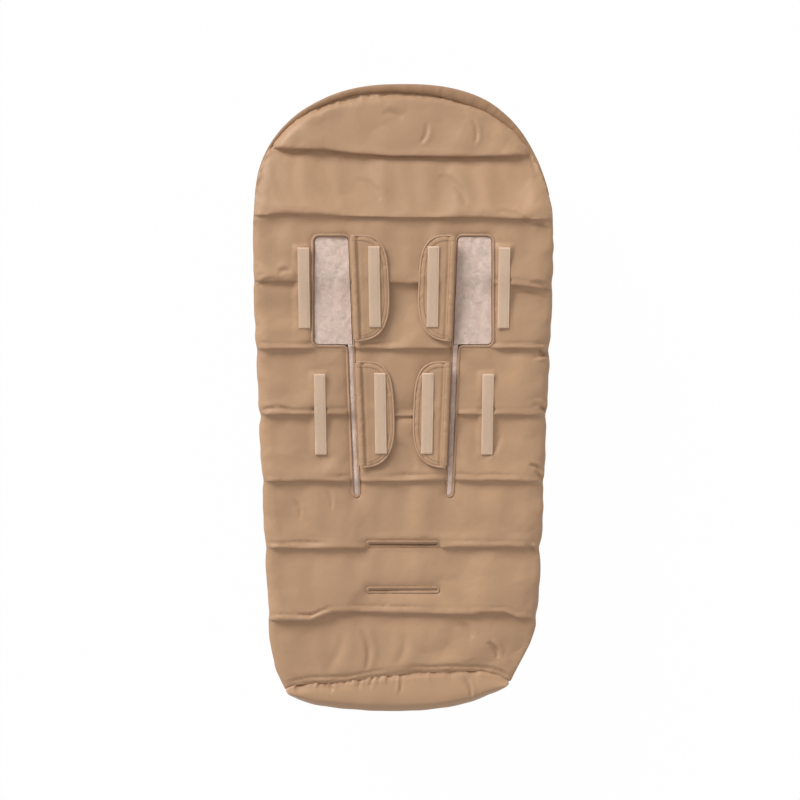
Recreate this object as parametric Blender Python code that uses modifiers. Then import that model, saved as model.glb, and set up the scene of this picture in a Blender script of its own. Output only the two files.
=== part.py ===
"""A quilted stroller footmuff, lying on its front with the back panel up.

Units are metres. +Y points to the hood, +X to the right as seen from above, +Z up from the
floor, and the origin is on the floor under the middle of the muff. The back panel, gussets and
hood rim are one body. The cover folds down at the toe, its collar folds down at the top, four
flaps open and close over the harness openings, and a slider with a pull runs on each zip.
"""

import math

import bmesh
import bpy
from mathutils import Matrix, Vector

# General
SEAT_GAP = 0.0003
CUT_OVERRUN = 0.010

# Outline of the back panel
HALF_WIDTH = 0.240
HALF_WIDTH_LOW = 0.216
HALF_WIDTH_CORNER = 0.180
SHOULDER_Y = 0.260
TAPER_TOP_Y = 0.180
TAPER_END_Y = -0.335
FOOT_CORNER_Y = -0.463
DOME_HEIGHT = 0.2416
DOME_POWER = 2.4
FOOT_SIDE_POWER = 1.9
FOOT_ARC_DROP = 0.0386
FOOT_SEAM_RISE = 0.018
FOOT_SEAM_POWER = 8
SIDE_DRAW = 0.0022

# Quilting: straight lines across, the same on back, cover and toe
QUILT_TOP_Y = 0.394
QUILT_PITCH = 0.1058
QUILT_LINES = 8
TOE_LINE = 7
COVER_CHANNEL_COUNT = 5
PUFF_POWER = 0.5
EDGE_POWER = 8
EDGE_ROUND_POWER = 0.4
ROW_SHARES = (0, 0.10, 0.35, 0.65, 0.90)
END_ROW_SHARES = (0, 0.14, 0.50, 0.86)
LINING_ROW_SHARES = (0, 0.50)
ACROSS_SHARES = (-1, -0.97, -0.88, -0.70, -0.38, 0, 0.38, 0.70, 0.88, 0.97, 1)
COVER_ACROSS_SHARES = (-1, -0.96, -0.84, -0.55, 0, 0.55, 0.84, 0.96, 1)

# Layers of a quilted panel
SHELL_WALL = 0.0012
LINING_WALL = 0.0010
PAD_DROP = 0.0030
LINING_DROP = 0.0018
PAD_INSET = 0.005
PAD_EDGE = 0.0012
LINING_PUFF = 0.002

# Heights of the back panel over the floor, lying flat
BACK_FLOOR_Z = 0.0327
HOOD_FOLD_Z = 0.010
HOOD_FLOOR_Z = 0.003
VALLEY = 0.010
CROWN = 0.010
END_VALLEY = 0.004
DOME_SIDE_SHARE = 0.32

# Hood rim
RIM_WIDTH = 0.0135
RIM_START_SHARE = 0.50
RIM_POINTS = 29
RIM_RISE = 0.0015
CREST_CUT = 0.0005

# Gussets and zips
ZIP_Z = 0.012
GUSSET_WALL = 0.0015
GUSSET_LIP = 0.026
GUSSET_FLOOR_Z = 0.0045
GUSSET_TOP_Y = 0.262
GUSSET_TOP_GAP = 0.0009
GUSSET_IN_SHARES = (0.02, 0, 0.08, 0.30, 0.58, 0.84, 1)
GUSSET_FALL_SHARES = (0, 0.35, 0.75, 1)
GUSSET_RISE_SHARES = (0, 0.70, 1)
FOOT_GUSSET_STEPS = 8
FOOT_GUSSET_ROUND_POWER = 0.7
COIL_RADIUS = 0.0011
COIL_SPACING = 0.0040
TAPE_WIDTH = 0.0056
TAPE_WALL = 0.0008
ZIP_END_GAP = 0.002
STOP_LENGTH = 0.004
STOP_HEIGHT = 0.0026

# Cover, collar and toe
COVER_ROOF_Z = 0.0215
COVER_VALLEY = 0.008
COLLAR_TOP_Y = 0.266
COLLAR_SIDE_GAP = 0.0036

# Harness openings: a window with a slit below it, one on each side
OPENING_INNER_X = 0.0870
OPENING_SLOPE = 0.041
WINDOW_OUTER_X = 0.1426
WINDOW_TOP_Y = 0.256
WINDOW_BOTTOM_Y = 0.0824
WINDOW_CORNER = 0.008
SLIT_WIDTH = 0.0078
SLIT_END_Y = -0.1576
SLOT_ROUND_SHARE = 0.95
BINDING_WALL = 0.004
CORNER_STEPS = 3
SLOT_CORNER_STEPS = 2

# Crotch strap slots
CROTCH_LENGTH = 0.112
CROTCH_WIDTH = 0.0050
CROTCH_BINDING_WALL = 0.0027
CROTCH_UPPER_Y = -0.2352
CROTCH_LOWER_Y = -0.3088

# Flaps over the harness openings, lying open
FLAP_LENGTH = 0.170
FLAP_WIDTH = 0.060
FLAP_WALL = 0.003
FLAP_PIVOT_DROP = 0.0007
FLAP_TOP_POWER = 3.2
FLAP_BOTTOM_POWER = 2.5
FLAP_STEPS = 12
PIPING_RADIUS = 0.0015
HINGE_SETBACK = 0.0022
UPPER_FLAP_Y = 0.1723
LOWER_FLAP_Y = -0.0293

# Hook-and-loop strips
STRIP_WIDTH = 0.0196
STRIP_LENGTH = 0.129
STRIP_WALL = 0.0010
STRIP_SEAT = 0.0005
STRIP_TURN_SHARE = 0.4
FLAP_STRIP_X = 0.0358
UPPER_STRIP_Y = 0.1731
LOWER_STRIP_Y = -0.0285
UPPER_SHELL_STRIP_X = 0.160
LOWER_SHELL_STRIP_X = 0.1333

# Zip slider and pull
SLIDER_WIDTH = 0.0088
SLIDER_LENGTH = 0.012
SLIDER_PLATE = 0.0012
SLIDER_POST_LENGTH = 0.004
LUG_WIDTH = 0.0018
LUG_LENGTH = 0.0050
LUG_HEIGHT = 0.0036
PULL_WALL = 0.0010
PULL_WIDTH = 0.0070
PULL_LENGTH = 0.026
PULL_EYE_LENGTH = 0.0050
PULL_REST_DEGREES = 12
PULL_BEVEL = 0.0003

# Colours, as linear red, green and blue
TAN = (0.462, 0.285, 0.171)
TAN_DEEP = (0.366, 0.216, 0.130)
RIM_TAN = (0.352, 0.195, 0.107)
STRIP_TAN = (0.552, 0.397, 0.283)
FLEECE = (0.618, 0.474, 0.407)
WADDING = (0.800, 0.790, 0.760)
METAL = (0.560, 0.500, 0.420)


def material(name, colour, roughness, metallic=0):
    made = bpy.data.materials.new(name)
    made.use_nodes = True
    shader = made.node_tree.nodes["Principled BSDF"]
    shader.inputs["Base Color"].default_value = (*colour, 1)
    shader.inputs["Roughness"].default_value = roughness
    shader.inputs["Metallic"].default_value = metallic
    made.diffuse_color = (*colour, 1)
    return made


def add_object(name, mesh, surface, parent=None, folder="footmuff"):
    """Makes an object of a bmesh, in the named collection."""
    data = bpy.data.meshes.new(name)
    mesh.to_mesh(data)
    mesh.free()
    made = bpy.data.objects.new(name, data)
    bpy.data.collections[folder].objects.link(made)
    if surface:
        data.materials.append(surface)
        data.shade_smooth()
        data.set_sharp_from_angle(angle=math.radians(40))
    made.parent = parent
    return made


def add_empty(name, location, turn=0, parent=None):
    made = bpy.data.objects.new(name, None)
    made.location = location
    made.rotation_euler = (0, 0, turn)
    made.parent = parent
    bpy.data.collections["footmuff"].objects.link(made)
    return made


def thicken(obj, wall, offset=-1):
    solid = obj.modifiers.new("wall", "SOLIDIFY")
    solid.thickness = wall
    solid.offset = offset
    solid.use_even_offset = True


def cut(obj, cutter, operation="DIFFERENCE"):
    tool = obj.modifiers.new(cutter.name, "BOOLEAN")
    tool.operation = operation
    tool.object = cutter


def sheet(across, along, place):
    """A grid with one vertex for each pair of values, moved to place(a, b)."""
    mesh = bmesh.new()
    columns, rows = len(across) - 1, len(along) - 1
    bmesh.ops.create_grid(mesh, x_segments=columns, y_segments=rows, size=1)
    for vert in mesh.verts:
        a = across[round((vert.co.x + 1) / 2 * columns)]
        b = along[round((vert.co.y + 1) / 2 * rows)]
        vert.co = place(a, b)
    return mesh


def filled_sheet(across, along, top, bottom):
    """A closed solid between two surfaces over the same grid, here the filling of a panel."""
    mesh = sheet(across, along, top)
    underside = bpy.data.meshes.new("underside")
    sheet(across, along, bottom).to_mesh(underside)
    mesh.from_mesh(underside)
    bpy.data.meshes.remove(underside)
    rims = [edge for edge in mesh.edges if edge.is_boundary]
    bmesh.ops.bridge_loops(mesh, edges=rims)
    bmesh.ops.recalc_face_normals(mesh, faces=mesh.faces[:])
    return mesh


def box(size, centre=(0, 0, 0)):
    mesh = bmesh.new()
    bmesh.ops.create_cube(mesh, size=1)
    bmesh.ops.scale(mesh, vec=size, verts=mesh.verts)
    bmesh.ops.translate(mesh, vec=centre, verts=mesh.verts)
    return mesh


def prism(outline, low, high):
    mesh = bmesh.new()
    mesh.faces.new([mesh.verts.new((x, y, low)) for x, y in outline])
    raised = bmesh.ops.extrude_face_region(mesh, geom=mesh.faces[:])
    verts = [item for item in raised["geom"] if isinstance(item, bmesh.types.BMVert)]
    bmesh.ops.translate(mesh, vec=(0, 0, high - low), verts=verts)
    bmesh.ops.recalc_face_normals(mesh, faces=mesh.faces[:])
    return mesh


def tube(name, points, radii, surface, parent=None):
    """A closed tube along a line of points, made from a curve with filled caps."""
    curve = bpy.data.curves.new(name, "CURVE")
    curve.dimensions = "3D"
    curve.bevel_depth = 1
    curve.bevel_resolution = 1
    curve.use_fill_caps = True
    spline = curve.splines.new("POLY")
    spline.points.add(len(points) - 1)
    for point, place, radius in zip(spline.points, points, radii):
        point.co = (*place, 1)
        point.radius = radius
    guide = bpy.data.objects.new(name + "_guide", curve)
    bpy.context.scene.collection.objects.link(guide)
    graph = bpy.context.evaluated_depsgraph_get()
    data = bpy.data.meshes.new_from_object(guide.evaluated_get(graph))
    bpy.data.objects.remove(guide)
    mesh = bmesh.new()
    mesh.from_mesh(data)
    bmesh.ops.remove_doubles(mesh, verts=mesh.verts, dist=SEAT_GAP / 100)
    bmesh.ops.recalc_face_normals(mesh, faces=mesh.faces[:])
    return add_object(name, mesh, surface, parent)


def mixed(a, b, share):
    return a + (b - a) * share


# Outline of the muff


def dome_half_width(y, height):
    """Half width of the dome over its shoulders, for a dome of the given height."""
    share = min((y - SHOULDER_Y) / height, 1)
    return HALF_WIDTH * (1 - share**DOME_POWER) ** (1 / DOME_POWER)


def half_width(y):
    """Half width of the back panel inside the hood rim."""
    if y > SHOULDER_Y:
        return dome_half_width(y, DOME_HEIGHT - RIM_WIDTH)
    if y > TAPER_END_Y:
        share = min(max((TAPER_TOP_Y - y) / (TAPER_TOP_Y - TAPER_END_Y), 0), 1)
        return mixed(HALF_WIDTH, HALF_WIDTH_LOW, share)
    share = min((TAPER_END_Y - y) / (TAPER_END_Y - FOOT_CORNER_Y), 1)
    return mixed(HALF_WIDTH_LOW, HALF_WIDTH_CORNER, share**FOOT_SIDE_POWER)


def foot_seam_rise(across):
    """How far the foot seam bows up between its corners, at a share of the half width."""
    return FOOT_SEAM_RISE * (1 - abs(across) ** FOOT_SEAM_POWER)


def dome_rise(across):
    """How far the top edge of the panel stands over its ends, at a share of the half width."""
    height = DOME_HEIGHT - RIM_WIDTH
    x = abs(across) * half_width(DOME_END_Y)
    return height * (1 - (x / HALF_WIDTH) ** DOME_POWER) ** (1 / DOME_POWER) - (DOME_END_Y - SHOULDER_Y)


def quilt_y(line):
    return QUILT_TOP_Y - line * QUILT_PITCH


DOME_END_Y = mixed(QUILT_TOP_Y, SHOULDER_Y + DOME_HEIGHT, DOME_SIDE_SHARE)
COLLAR_LINE = TOE_LINE - COVER_CHANNEL_COUNT


# Quilted rows


class Row:
    """One row of vertices across a panel: where it ends, how it bows, how full it is."""

    def __init__(self, end_y, share, valley=VALLEY, dome=0, foot=0):
        self.end_y = end_y
        self.puff = (4 * share * (1 - share)) ** PUFF_POWER
        self.valley = valley
        self.dome = dome
        self.foot = foot

    def y(self, across):
        return self.end_y + self.dome * dome_rise(across) + self.foot * foot_seam_rise(across)


def channel_rows(low_y, high_y, shares, **ends):
    """The rows of one channel, from its lower seam up, without its upper seam."""
    return [Row(mixed(low_y, high_y, share), share, **ends) for share in shares]


def foot_rows(shares):
    """The channel between the foot seam and the lowest quilting line."""
    rows = []
    for share in shares:
        valley = mixed(END_VALLEY, VALLEY, share)
        y = mixed(FOOT_CORNER_Y, quilt_y(TOE_LINE), share)
        rows.append(Row(y, share, valley, foot=1 - share))
    return rows


def dome_rows(shares):
    """The channel between the top quilting line and the hood rim, with its top edge."""
    rows = []
    for share in (*shares, 1):
        valley = mixed(VALLEY, END_VALLEY, share)
        y = mixed(QUILT_TOP_Y, DOME_END_Y, share)
        rows.append(Row(y, share, valley, dome=share))
    return rows


def body_rows(first_line, last_line, shares):
    """The channels between two quilting lines, from the lower one up."""
    rows = []
    for line in range(last_line, first_line, -1):
        rows += channel_rows(quilt_y(line), quilt_y(line - 1), shares)
    return rows


def back_rows(shares, end_shares):
    body = body_rows(0, QUILT_LINES - 1, shares)
    return foot_rows(end_shares) + body + dome_rows(end_shares)


def edge_fall(across, shares):
    """1 over most of a panel, falling steeply to 0 at its side edges, straight between columns."""
    place = min(abs(across), 1)
    outer = [share for share in shares if share >= 0]
    for low, high in zip(outer, outer[1:]):
        if low <= place <= high:
            falls = [(1 - end**EDGE_POWER) ** EDGE_ROUND_POWER for end in (low, high)]
            return mixed(*falls, (place - low) / (high - low))
    return 0


# Back panel


def back_floor(y):
    """Height of the top of the back lining: level, then bent down at the two top quilting lines."""
    bend, fold, end = quilt_y(1), quilt_y(0), SHOULDER_Y + DOME_HEIGHT - RIM_WIDTH
    if y < bend:
        return BACK_FLOOR_Z
    if y < fold:
        return mixed(BACK_FLOOR_Z, HOOD_FOLD_Z, (y - bend) / (fold - bend))
    return mixed(HOOD_FOLD_Z, HOOD_FLOOR_Z, min((y - fold) / (end - fold), 1))


def back_height(across, y, puff, valley):
    """Height of the outer face of the back shell."""
    edge = back_floor(y) + SEAT_GAP + SHELL_WALL
    full = back_floor(y) + valley + CROWN * puff
    return mixed(edge, full, edge_fall(across, ACROSS_SHARES))


def shell_reach(row):
    return half_width(row.end_y) - SIDE_DRAW * (1 - row.puff)


def back_shell_point(across, row):
    y = row.y(across)
    return Vector((across * shell_reach(row), y, back_height(across, y, row.puff, row.valley)))


def pad_reach(row):
    return shell_reach(row) - PAD_INSET


def pad_end_shift(row):
    """Draws the filling in from the dome edge and from the foot seam."""
    return PAD_INSET * (row.foot - row.dome)


def back_pad_top(across, row):
    x = across * pad_reach(row)
    place = x / shell_reach(row)
    y = row.y(place) + pad_end_shift(row)
    height = back_height(place, y, row.puff, row.valley) - PAD_DROP
    return Vector((x, y, max(height, back_floor(y) + SEAT_GAP + PAD_EDGE)))


def back_pad_bottom(across, row):
    top = back_pad_top(across, row)
    return Vector((top.x, top.y, back_floor(top.y) + SEAT_GAP))


def back_lining_point(across, row):
    y = row.y(across)
    x = across * (half_width(row.end_y) - LINING_WALL)
    puff = LINING_PUFF * row.puff * edge_fall(across, ACROSS_SHARES)
    return Vector((x, y, back_floor(y) - puff))


def body_shell_height(x, y):
    """Height of the back shell between the shoulders and the toe, at any place."""
    step = (quilt_y(0) - y) / QUILT_PITCH
    share = step - math.floor(step)
    shares = [*ROW_SHARES, 1]
    for low, high in zip(shares, shares[1:]):
        if low <= share <= high:
            part = (share - low) / (high - low)
            puffs = [(4 * end * (1 - end)) ** PUFF_POWER for end in (low, high)]
            return back_height(x / half_width(y), y, mixed(*puffs, part), VALLEY)
    return None


# Outlines of openings


def rounded(corners, radii, steps=CORNER_STEPS):
    """The outline through the corners, each rounded by an arc of its radius."""
    points = []
    count = len(corners)
    for index, (corner, radius) in enumerate(zip(corners, radii)):
        here = Vector(corner)
        before = (Vector(corners[index - 1]) - here).normalized()
        after = (Vector(corners[(index + 1) % count]) - here).normalized()
        half = before.angle(after) / 2
        centre = here + (before + after).normalized() * (radius / math.sin(half))
        start = here + before * (radius / math.tan(half)) - centre
        end = here + after * (radius / math.tan(half)) - centre
        turn = start.angle_signed(end)
        for step in range(steps + 1):
            arm = start.copy()
            arm.rotate(Matrix.Rotation(-turn * step / steps, 2))
            points.append(tuple(centre + arm))
    return points


def opening_inner_x(y):
    """The inner edge of window and slit, one line that leans outward to the top."""
    return OPENING_INNER_X - OPENING_SLOPE * (WINDOW_TOP_Y - y)


def harness_outline(side, grow=0):
    """A harness opening, on the side with the given sign, grown outward all round."""
    top, sill, end = WINDOW_TOP_Y + grow, WINDOW_BOTTOM_Y - grow, SLIT_END_Y - grow
    outer = WINDOW_OUTER_X + grow
    slit_outer = SLIT_WIDTH + grow
    corners = [
        (opening_inner_x(end) - grow, end),
        (opening_inner_x(end) + slit_outer, end),
        (opening_inner_x(sill) + slit_outer, sill),
        (outer, sill),
        (outer, top),
        (opening_inner_x(top) - grow, top),
    ]
    slit_corner = (SLIT_WIDTH / 2 + grow) * SLOT_ROUND_SHARE
    corner = WINDOW_CORNER + grow
    inside = max(WINDOW_CORNER - grow, SEAT_GAP)
    radii = [slit_corner, slit_corner, inside, corner, corner, corner]
    points = rounded(corners, radii)
    return [(side * x, y) for x, y in points]


def crotch_outline(y, grow=0):
    reach, half = CROTCH_LENGTH / 2 + grow, CROTCH_WIDTH / 2 + grow
    corners = [(-reach, y - half), (reach, y - half), (reach, y + half), (-reach, y + half)]
    return rounded(corners, [half * SLOT_ROUND_SHARE] * 4, SLOT_CORNER_STEPS)


def split_at_rows(outline):
    """Adds a point wherever the outline crosses a row of the back shell."""
    levels = [row.end_y for row in body_rows(0, QUILT_LINES - 1, ROW_SHARES)]
    points = []
    for index, start in enumerate(outline):
        end = outline[(index + 1) % len(outline)]
        points.append(start)
        low, high = sorted((start[1], end[1]))
        inside = sorted(y for y in levels if low + SEAT_GAP < y < high - SEAT_GAP)
        if start[1] > end[1]:
            inside.reverse()
        for y in inside:
            share = (y - start[1]) / (end[1] - start[1])
            points.append((mixed(start[0], end[0], share), y))
    return points


def centre_edge(y):
    """Half width of the middle pieces of wadding, between the slits and past the crotch slots."""
    return opening_inner_x(y) - BINDING_WALL - 2 * SEAT_GAP


def padding_zones():
    """Plan outlines of the wadding's pieces, which meet in line with the openings."""
    edge = BINDING_WALL + 2 * SEAT_GAP
    slot = CROTCH_WIDTH / 2 + CROTCH_BINDING_WALL + 2 * SEAT_GAP
    out = HALF_WIDTH + CUT_OVERRUN
    low, high = FOOT_CORNER_Y - CUT_OVERRUN, SHOULDER_Y + DOME_HEIGHT + CUT_OVERRUN
    top, sill, end = WINDOW_TOP_Y + edge, WINDOW_BOTTOM_Y - edge, SLIT_END_Y - edge
    zones = {"hood": [(-out, top), (out, top), (out, high), (-out, high)]}
    for name, start, stop in (
        ("centre_upper", CROTCH_UPPER_Y + slot, top - SEAT_GAP),
        ("centre_mid", CROTCH_LOWER_Y + slot, CROTCH_UPPER_Y - slot),
        ("centre_foot", low, CROTCH_LOWER_Y - slot),
    ):
        wide, narrow = centre_edge(stop), centre_edge(start)
        zones[name] = [(-narrow, start), (narrow, start), (wide, stop), (-wide, stop)]
    window, slit = WINDOW_OUTER_X + edge, SLIT_WIDTH + edge
    for name, start, stop, inner_x in (
        ("window", sill + SEAT_GAP, top - SEAT_GAP, lambda y: window),
        ("slit", end, sill, lambda y: opening_inner_x(y) + slit),
        ("hip", low, end - SEAT_GAP, lambda y: centre_edge(y) + SEAT_GAP),
    ):
        corners = [(inner_x(start), start), (out, start), (out, stop), (inner_x(stop), stop)]
        for side, word in ((-1, "left"), (1, "right")):
            zones[f"{name}_{word}"] = [(side * x, y) for x, y in corners]
    return zones


def cutter_span():
    """Lowest and highest level of the cutters through the back panel."""
    return HOOD_FLOOR_Z - CUT_OVERRUN, BACK_FLOOR_Z + VALLEY + CROWN + CUT_OVERRUN


def opening_cutters():
    """Cutters through all layers of the back panel, clear of the bindings."""
    outlines = {
        "harness_left": harness_outline(-1, BINDING_WALL + SEAT_GAP),
        "harness_right": harness_outline(1, BINDING_WALL + SEAT_GAP),
        "crotch_upper": crotch_outline(CROTCH_UPPER_Y, CROTCH_BINDING_WALL + SEAT_GAP),
        "crotch_lower": crotch_outline(CROTCH_LOWER_Y, CROTCH_BINDING_WALL + SEAT_GAP),
    }
    cutters = []
    for name, outline in outlines.items():
        mesh = prism(outline, *cutter_span())
        cutter = add_object(name + "_cutter", mesh, None, folder="cutters")
        hide(cutter)
        cutters.append(cutter)
    return cutters


def hide(cutter):
    cutter.hide_render = True
    cutter.display_type = "WIRE"


def add_back_panel(looks, cutters):
    rows = back_rows(ROW_SHARES, END_ROW_SHARES)
    shell = add_object("back_shell", sheet(ACROSS_SHARES, rows, back_shell_point), looks["shell"])
    thicken(shell, SHELL_WALL)
    lining_rows = back_rows(LINING_ROW_SHARES, LINING_ROW_SHARES)
    cloth = sheet(ACROSS_SHARES, lining_rows, back_lining_point)
    lining = add_object("back_lining", cloth, looks["fleece"])
    thicken(lining, LINING_WALL)
    for layer in (shell, *add_back_padding(rows, looks), lining):
        for cutter in cutters:
            cut(layer, cutter)


def add_back_padding(rows, looks):
    """The wadding, in pieces that each keep to one zone of the panel."""
    filling = filled_sheet(ACROSS_SHARES, rows, back_pad_top, back_pad_bottom)
    pieces = []
    for name, outline in padding_zones().items():
        piece = add_object("back_padding_" + name, filling.copy(), looks["wadding"])
        zone = add_object(name + "_zone", prism(outline, *cutter_span()), None, folder="cutters")
        hide(zone)
        cut(piece, zone, "INTERSECT")
        pieces.append(piece)
    filling.free()
    return pieces


def add_binding(name, outline, wall, looks):
    """A bound edge: a wall round an opening, from under the lining to the shell's surface."""
    points = split_at_rows(outline)
    low = BACK_FLOOR_Z - LINING_PUFF - LINING_WALL
    mesh = bmesh.new()
    lower = [mesh.verts.new((x, y, low)) for x, y in points]
    upper = [mesh.verts.new((x, y, body_shell_height(x, y))) for x, y in points]
    for index in range(len(points)):
        mesh.faces.new((lower[index - 1], lower[index], upper[index], upper[index - 1]))
    binding = add_object(name, mesh, looks["binding"])
    thicken(binding, wall, offset=0)


def add_bindings(looks):
    for side, word in ((-1, "left"), (1, "right")):
        middle = harness_outline(side, BINDING_WALL / 2)
        add_binding("harness_binding_" + word, middle, BINDING_WALL, looks)
    for y, word in ((CROTCH_UPPER_Y, "upper"), (CROTCH_LOWER_Y, "lower")):
        middle = crotch_outline(y, CROTCH_BINDING_WALL / 2)
        add_binding("crotch_binding_" + word, middle, CROTCH_BINDING_WALL, looks)


# Hood rim


def dome_point(angle, height):
    """A point of a superellipse dome over the shoulders."""
    power = 2 / DOME_POWER
    x = -math.copysign(abs(math.cos(angle)) ** power, math.cos(angle)) * HALF_WIDTH
    return Vector((x, SHOULDER_Y + math.sin(angle) ** power * height))


def rim_start_angle():
    return math.asin(RIM_START_SHARE ** (DOME_POWER / 2))


def rim_radius(angle):
    """Half the width left between the back panel and the outline of the dome."""
    step = rim_start_angle() / RIM_POINTS
    along = dome_point(angle + step, DOME_HEIGHT) - dome_point(angle - step, DOME_HEIGHT)
    lean = abs(along.normalized().x)
    width = dome_point(angle, DOME_HEIGHT).y - dome_point(angle, DOME_HEIGHT - RIM_WIDTH).y
    return (width * lean - SEAT_GAP) / 2


def add_hood_rim(looks):
    start = rim_start_angle()
    points, radii = [], []
    for step in range(RIM_POINTS):
        angle = mixed(start, math.pi - start, step / (RIM_POINTS - 1))
        outer = dome_point(angle, DOME_HEIGHT)
        inner = dome_point(angle, DOME_HEIGHT - RIM_WIDTH)
        middle = (outer + inner) / 2
        radius = rim_radius(angle)
        height = max(radius - CREST_CUT, back_floor(middle.y) + RIM_RISE)
        points.append((middle.x, middle.y, height))
        radii.append(radius)
    rim = tube("hood_rim", points, radii, looks["rim"])
    for vert in rim.data.vertices:
        vert.co.z = max(vert.co.z, 0)


# Gussets


def gusset_profile():
    """Shares of the lip's width in from the side edge, with heights, from the top seam round."""
    top = BACK_FLOOR_Z - LINING_WALL - GUSSET_TOP_GAP
    falls = [mixed(top, GUSSET_FLOOR_Z, share) for share in GUSSET_FALL_SHARES]
    rises = [mixed(GUSSET_FLOOR_Z, ZIP_Z, share) for share in GUSSET_RISE_SHARES]
    return list(zip(GUSSET_IN_SHARES, falls + rises))


def add_side_gussets(looks):
    foot = [row.end_y for row in foot_rows(END_ROW_SHARES)][1:]
    levels = [*foot, quilt_y(TOE_LINE), TAPER_END_Y, TAPER_TOP_Y, GUSSET_TOP_Y]
    for side, word in ((-1, "left"), (1, "right")):

        def place(point, y):
            return Vector((side * (half_width(y) - SIDE_DRAW - GUSSET_LIP * point[0]), y, point[1]))

        profile = gusset_profile()[::side]
        gusset = add_object("side_gusset_" + word, sheet(profile, levels, place), looks["shell"])
        thicken(gusset, GUSSET_WALL)


def add_foot_gusset(looks):
    """The end of the foot: a lens seen from above, bulging out and under to the toe."""
    top = BACK_FLOOR_Z + END_VALLEY - SHELL_WALL
    low = COVER_VALLEY - CREST_CUT
    middle, half = (top + low) / 2, (top - low) / 2

    def place(across, angle):
        x = across * (HALF_WIDTH_CORNER - SIDE_DRAW)
        seam = FOOT_CORNER_Y + foot_seam_rise(across) - SEAT_GAP
        bottom = FOOT_CORNER_Y - FOOT_ARC_DROP * math.sqrt(1 - across**2)
        out = abs(math.cos(angle)) ** FOOT_GUSSET_ROUND_POWER
        return Vector((x, mixed(seam, bottom, out), middle + half * math.sin(angle)))

    steps = range(FOOT_GUSSET_STEPS + 1)
    angles = [mixed(-math.pi / 2, math.pi / 2, step / FOOT_GUSSET_STEPS) for step in steps]
    gusset = add_object("foot_gusset", sheet(ACROSS_SHARES[1:-1], angles, place), looks["shell"])
    thicken(gusset, GUSSET_WALL)


# Cover, collar and toe: quilted panels that puff down to the floor


def zip_half():
    """From the middle of a zip to the edge that its tape is sewn to."""
    return COIL_SPACING / 2 + COIL_RADIUS + TAPE_WIDTH + 2 * SEAT_GAP


def zip_inset():
    """From the side edge of the muff in to the middle of the zip."""
    return SIDE_DRAW + GUSSET_LIP + zip_half()


def cover_reach(row):
    return half_width(row.end_y) - zip_inset() - zip_half()


def toe_reach(row):
    return half_width(row.end_y) - SIDE_DRAW - GUSSET_LIP - SEAT_GAP


def collar_reach(row):
    """The collar hangs free between the gussets' lips, over the ends of the zips."""
    return half_width(row.end_y) - SIDE_DRAW - GUSSET_LIP - COLLAR_SIDE_GAP


def front_height(across, puff):
    """Height of the outer face of a front panel, cut flat where it rests."""
    edge = ZIP_Z - SHELL_WALL - SEAT_GAP
    full = COVER_VALLEY * (1 - puff) - CREST_CUT
    return max(mixed(edge, full, edge_fall(across, COVER_ACROSS_SHARES)), 0)


def front_roof(across):
    """Height of the top of a front panel's lining."""
    return mixed(ZIP_Z + LINING_WALL, COVER_ROOF_Z, edge_fall(across, COVER_ACROSS_SHARES))


def add_front_panel(name, rows, lining_rows, reach, end_shift, looks, parent=None):
    """Shell, padding and lining of the cover, its collar or the toe."""
    origin = parent.matrix_world.translation if parent else Vector()

    def y_at(x, row):
        return row.y(x / shell_reach(row))

    def shell_point(across, row):
        x = across * reach(row)
        return Vector((x, y_at(x, row), front_height(across, row.puff))) - origin

    def pad_bottom(across, row):
        x = across * (reach(row) - PAD_INSET)
        place = x / reach(row)
        y = y_at(x, row) + end_shift(row)
        height = front_height(place, row.puff) + PAD_DROP
        roof = front_roof(place) - LINING_DROP
        return Vector((x, y, min(height, roof - PAD_EDGE))) - origin

    def pad_top(across, row):
        point = pad_bottom(across, row) + origin
        roof = front_roof(point.x / reach(row)) - LINING_DROP
        return Vector((point.x, point.y, roof)) - origin

    def lining_point(across, row):
        x = across * reach(row)
        rise = LINING_PUFF * row.puff * edge_fall(across, COVER_ACROSS_SHARES)
        return Vector((x, y_at(x, row), front_roof(across) + rise)) - origin

    across = COVER_ACROSS_SHARES
    shell = add_object(name + "_shell", sheet(across, rows, shell_point), looks["shell"], parent)
    thicken(shell, SHELL_WALL, offset=1)
    filling = filled_sheet(across, rows, pad_top, pad_bottom)
    add_object(name + "_padding", filling, looks["wadding"], parent)
    cloth = sheet(across, lining_rows, lining_point)
    lining = add_object(name + "_lining", cloth, looks["fleece"], parent)
    thicken(lining, LINING_WALL)


def drawn_ends(rows, low_y, high_y):
    """Moves the first and last row in from the seams where two panels meet."""
    rows[0].end_y = low_y + SEAT_GAP / 2
    rows[-1].end_y = high_y - SEAT_GAP / 2
    return rows


def collar_rows(shares):
    low, high = quilt_y(COLLAR_LINE), COLLAR_TOP_Y
    return drawn_ends(channel_rows(low, high, (*shares, 1)), low, high)


def cover_rows(shares):
    low, high = quilt_y(TOE_LINE), quilt_y(COLLAR_LINE)
    return drawn_ends(body_rows(COLLAR_LINE, TOE_LINE, shares) + [Row(high, 1)], low, high)


def toe_rows(shares):
    high = quilt_y(TOE_LINE)
    return drawn_ends(foot_rows(shares) + [Row(high, 1)], FOOT_CORNER_Y, high)


def inner_shift(row_list):
    """Draws the filling's first and last row in from the ends of its panel."""
    first, last = row_list[0].end_y, row_list[-1].end_y

    def shift(row):
        return PAD_EDGE * ((row.end_y == first) - (row.end_y == last))

    return shift


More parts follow.
